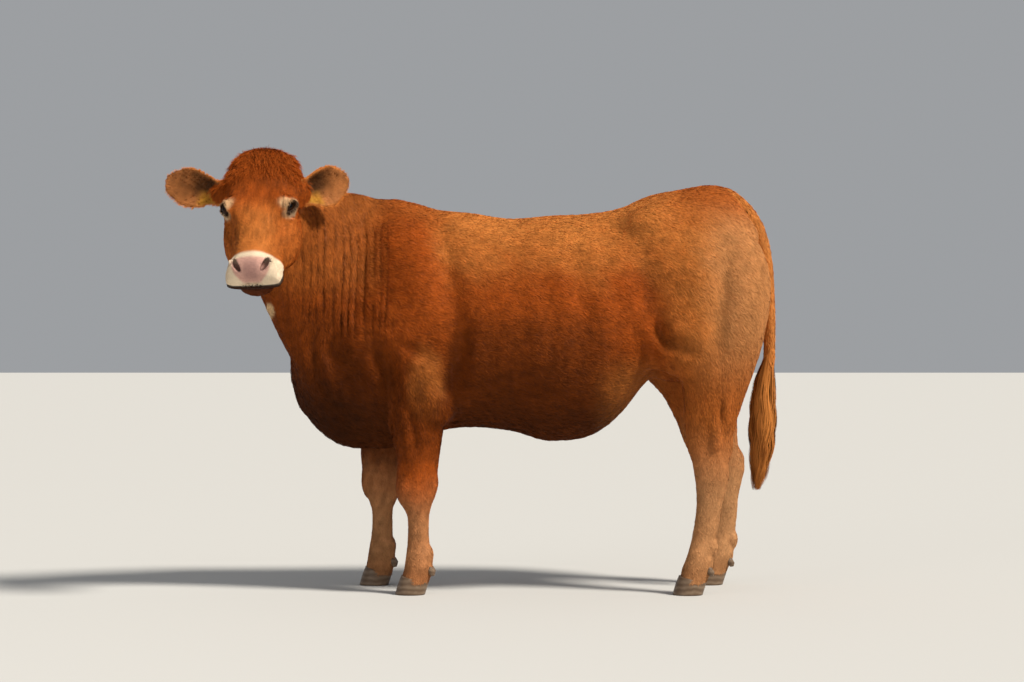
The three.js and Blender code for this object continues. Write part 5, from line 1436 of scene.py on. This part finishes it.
for name, solid in legs.items():
    rows = solid["rows"]
    front, back, one, other = (np.interp(45, rows[:, 0], rows[:, i]) for i in range(1, 5))
    footX, footY, length, width = (front + back) / 2, (one + other) / 2, back - front, abs(other - one)
    nodeName = name.replace("Left", "_claw_left_").replace("Right", "_claw_right_")
    for side in (-1, 1):
        rings = []
        for level in np.r_[0, 0.03, np.linspace(0.1, 1, claw["rows"] - 2)]:
            shiftX, long, wide = (np.interp(level, [0, 0.5, 1], v)
                                  for v in ((-17, -9, 0), (1.08, 1.05, 0.99), (1.06, 1.05, 0.98)))
            ripple = 1 + 0.006 * math.sin(level * 34)
            if level == 0:
                ripple *= 0.955
            halfLong, halfWide = length / 2 * long * ripple, width / 2 * wide * ripple
            split = claw["split"] + 2.5 * (1 - level)
            angle = math.pi * np.arange(claw["outline"] + 1) / claw["outline"]
            ox = -halfLong * np.sign(np.cos(angle)) * np.abs(np.cos(angle)) ** 0.85
            oy = np.maximum(split, halfWide * np.sin(angle) ** 0.85)
            inner = np.linspace(0.8, -0.8, 7)
            ox, oy = np.r_[ox, halfLong * inner], np.r_[oy, np.full(7, split)]
            top = claw["coronet"] - claw["slope"] * ox - 0.3
            height = level * (top - claw["slope"] * shiftX)
            rings.append(np.stack([footX + shiftX + ox, footY + side * oy, height], 1))
        place = np.concatenate(rings + [rings[0].mean(0)[None], rings[-1].mean(0)[None]])
        tris = closedTube(len(rings), len(rings[0]))
        if side > 0:
            tris = tris[:, ::-1]
        node = nodeName + ("outer" if (side > 0) == ("Right" in name) else "inner")
        finishPiece(makeMesh(node + "_horn", place, tris), horn, (node,))

for node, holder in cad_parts.items():  # dewclaws: the frame's own, in the same horn
    if "dewclaw" in node:
        holder.data.materials.clear()
        holder.data.materials.append(horn)
        holder.data.shade_smooth()
say("eyes and claws")

# the focal length in dots of a picture this wide, and the camera's place in millimetres on the shape's axes
view = {"focal": 2851, "dots": 1024, "place": (0, -9600), "height": 0.965, "down": 0.764}
studio = {"floor": (0.52, 0.51, 0.49, 1), "sky": 0.36, "skyColour": (0.93, 0.96, 1.0, 1), "target": (0.1, 0.1, 0.8)}
bpy.ops.mesh.primitive_plane_add(size=60, location=(0, 0, 0))
floor = bpy.context.object
floor.name = "floor"
floor.data.materials.append(newMaterial("paleFloor", Base_Color=studio["floor"], Roughness=0.85)[0])
world = bpy.data.worlds.new("softStudio")
bpy.context.scene.world = world
world.use_nodes = True
world.node_tree.nodes["Background"].inputs["Color"].default_value = studio["skyColour"]
world.node_tree.nodes["Background"].inputs["Strength"].default_value = studio["sky"]


def addLight(name, kind, energy, place, size, colour):
    data = bpy.data.lights.new(name, kind)
    data.energy = energy
    data.color = colour
    if kind == "AREA":
        data.shape, data.size = "DISK", size
    else:
        data.angle = size
    made = bpy.data.objects.new(name, data)
    made.location = place
    made.rotation_euler = (Vector(studio["target"]) - Vector(place)).to_track_quat("-Z", "Y").to_euler()
    bpy.context.scene.collection.objects.link(made)


addLight("key", "SUN", 5.0, (4.6, -2.7, 6.8), math.radians(12), (1.0, 0.95, 0.86))
addLight("fill", "AREA", 75, (-5.0, -7.0, 3.2), 4.0, (1.0, 0.96, 0.9))
bpy.context.scene.view_settings.view_transform = "Standard"

camera = bpy.data.cameras.new("camera")
camera.sensor_width = 36
camera.lens = view["focal"] / view["dots"] * camera.sensor_width
camera.clip_end = 200
cameraObject = bpy.data.objects.new("camera", camera)
cameraObject.location = [*((np.array(view["place"]) + shift[:2]) / 1000), view["height"]]
cameraObject.rotation_euler = (math.radians(90 - view["down"]), 0, 0)
bpy.context.scene.collection.objects.link(cameraObject)
bpy.context.scene.camera = cameraObject

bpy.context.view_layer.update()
say("done")
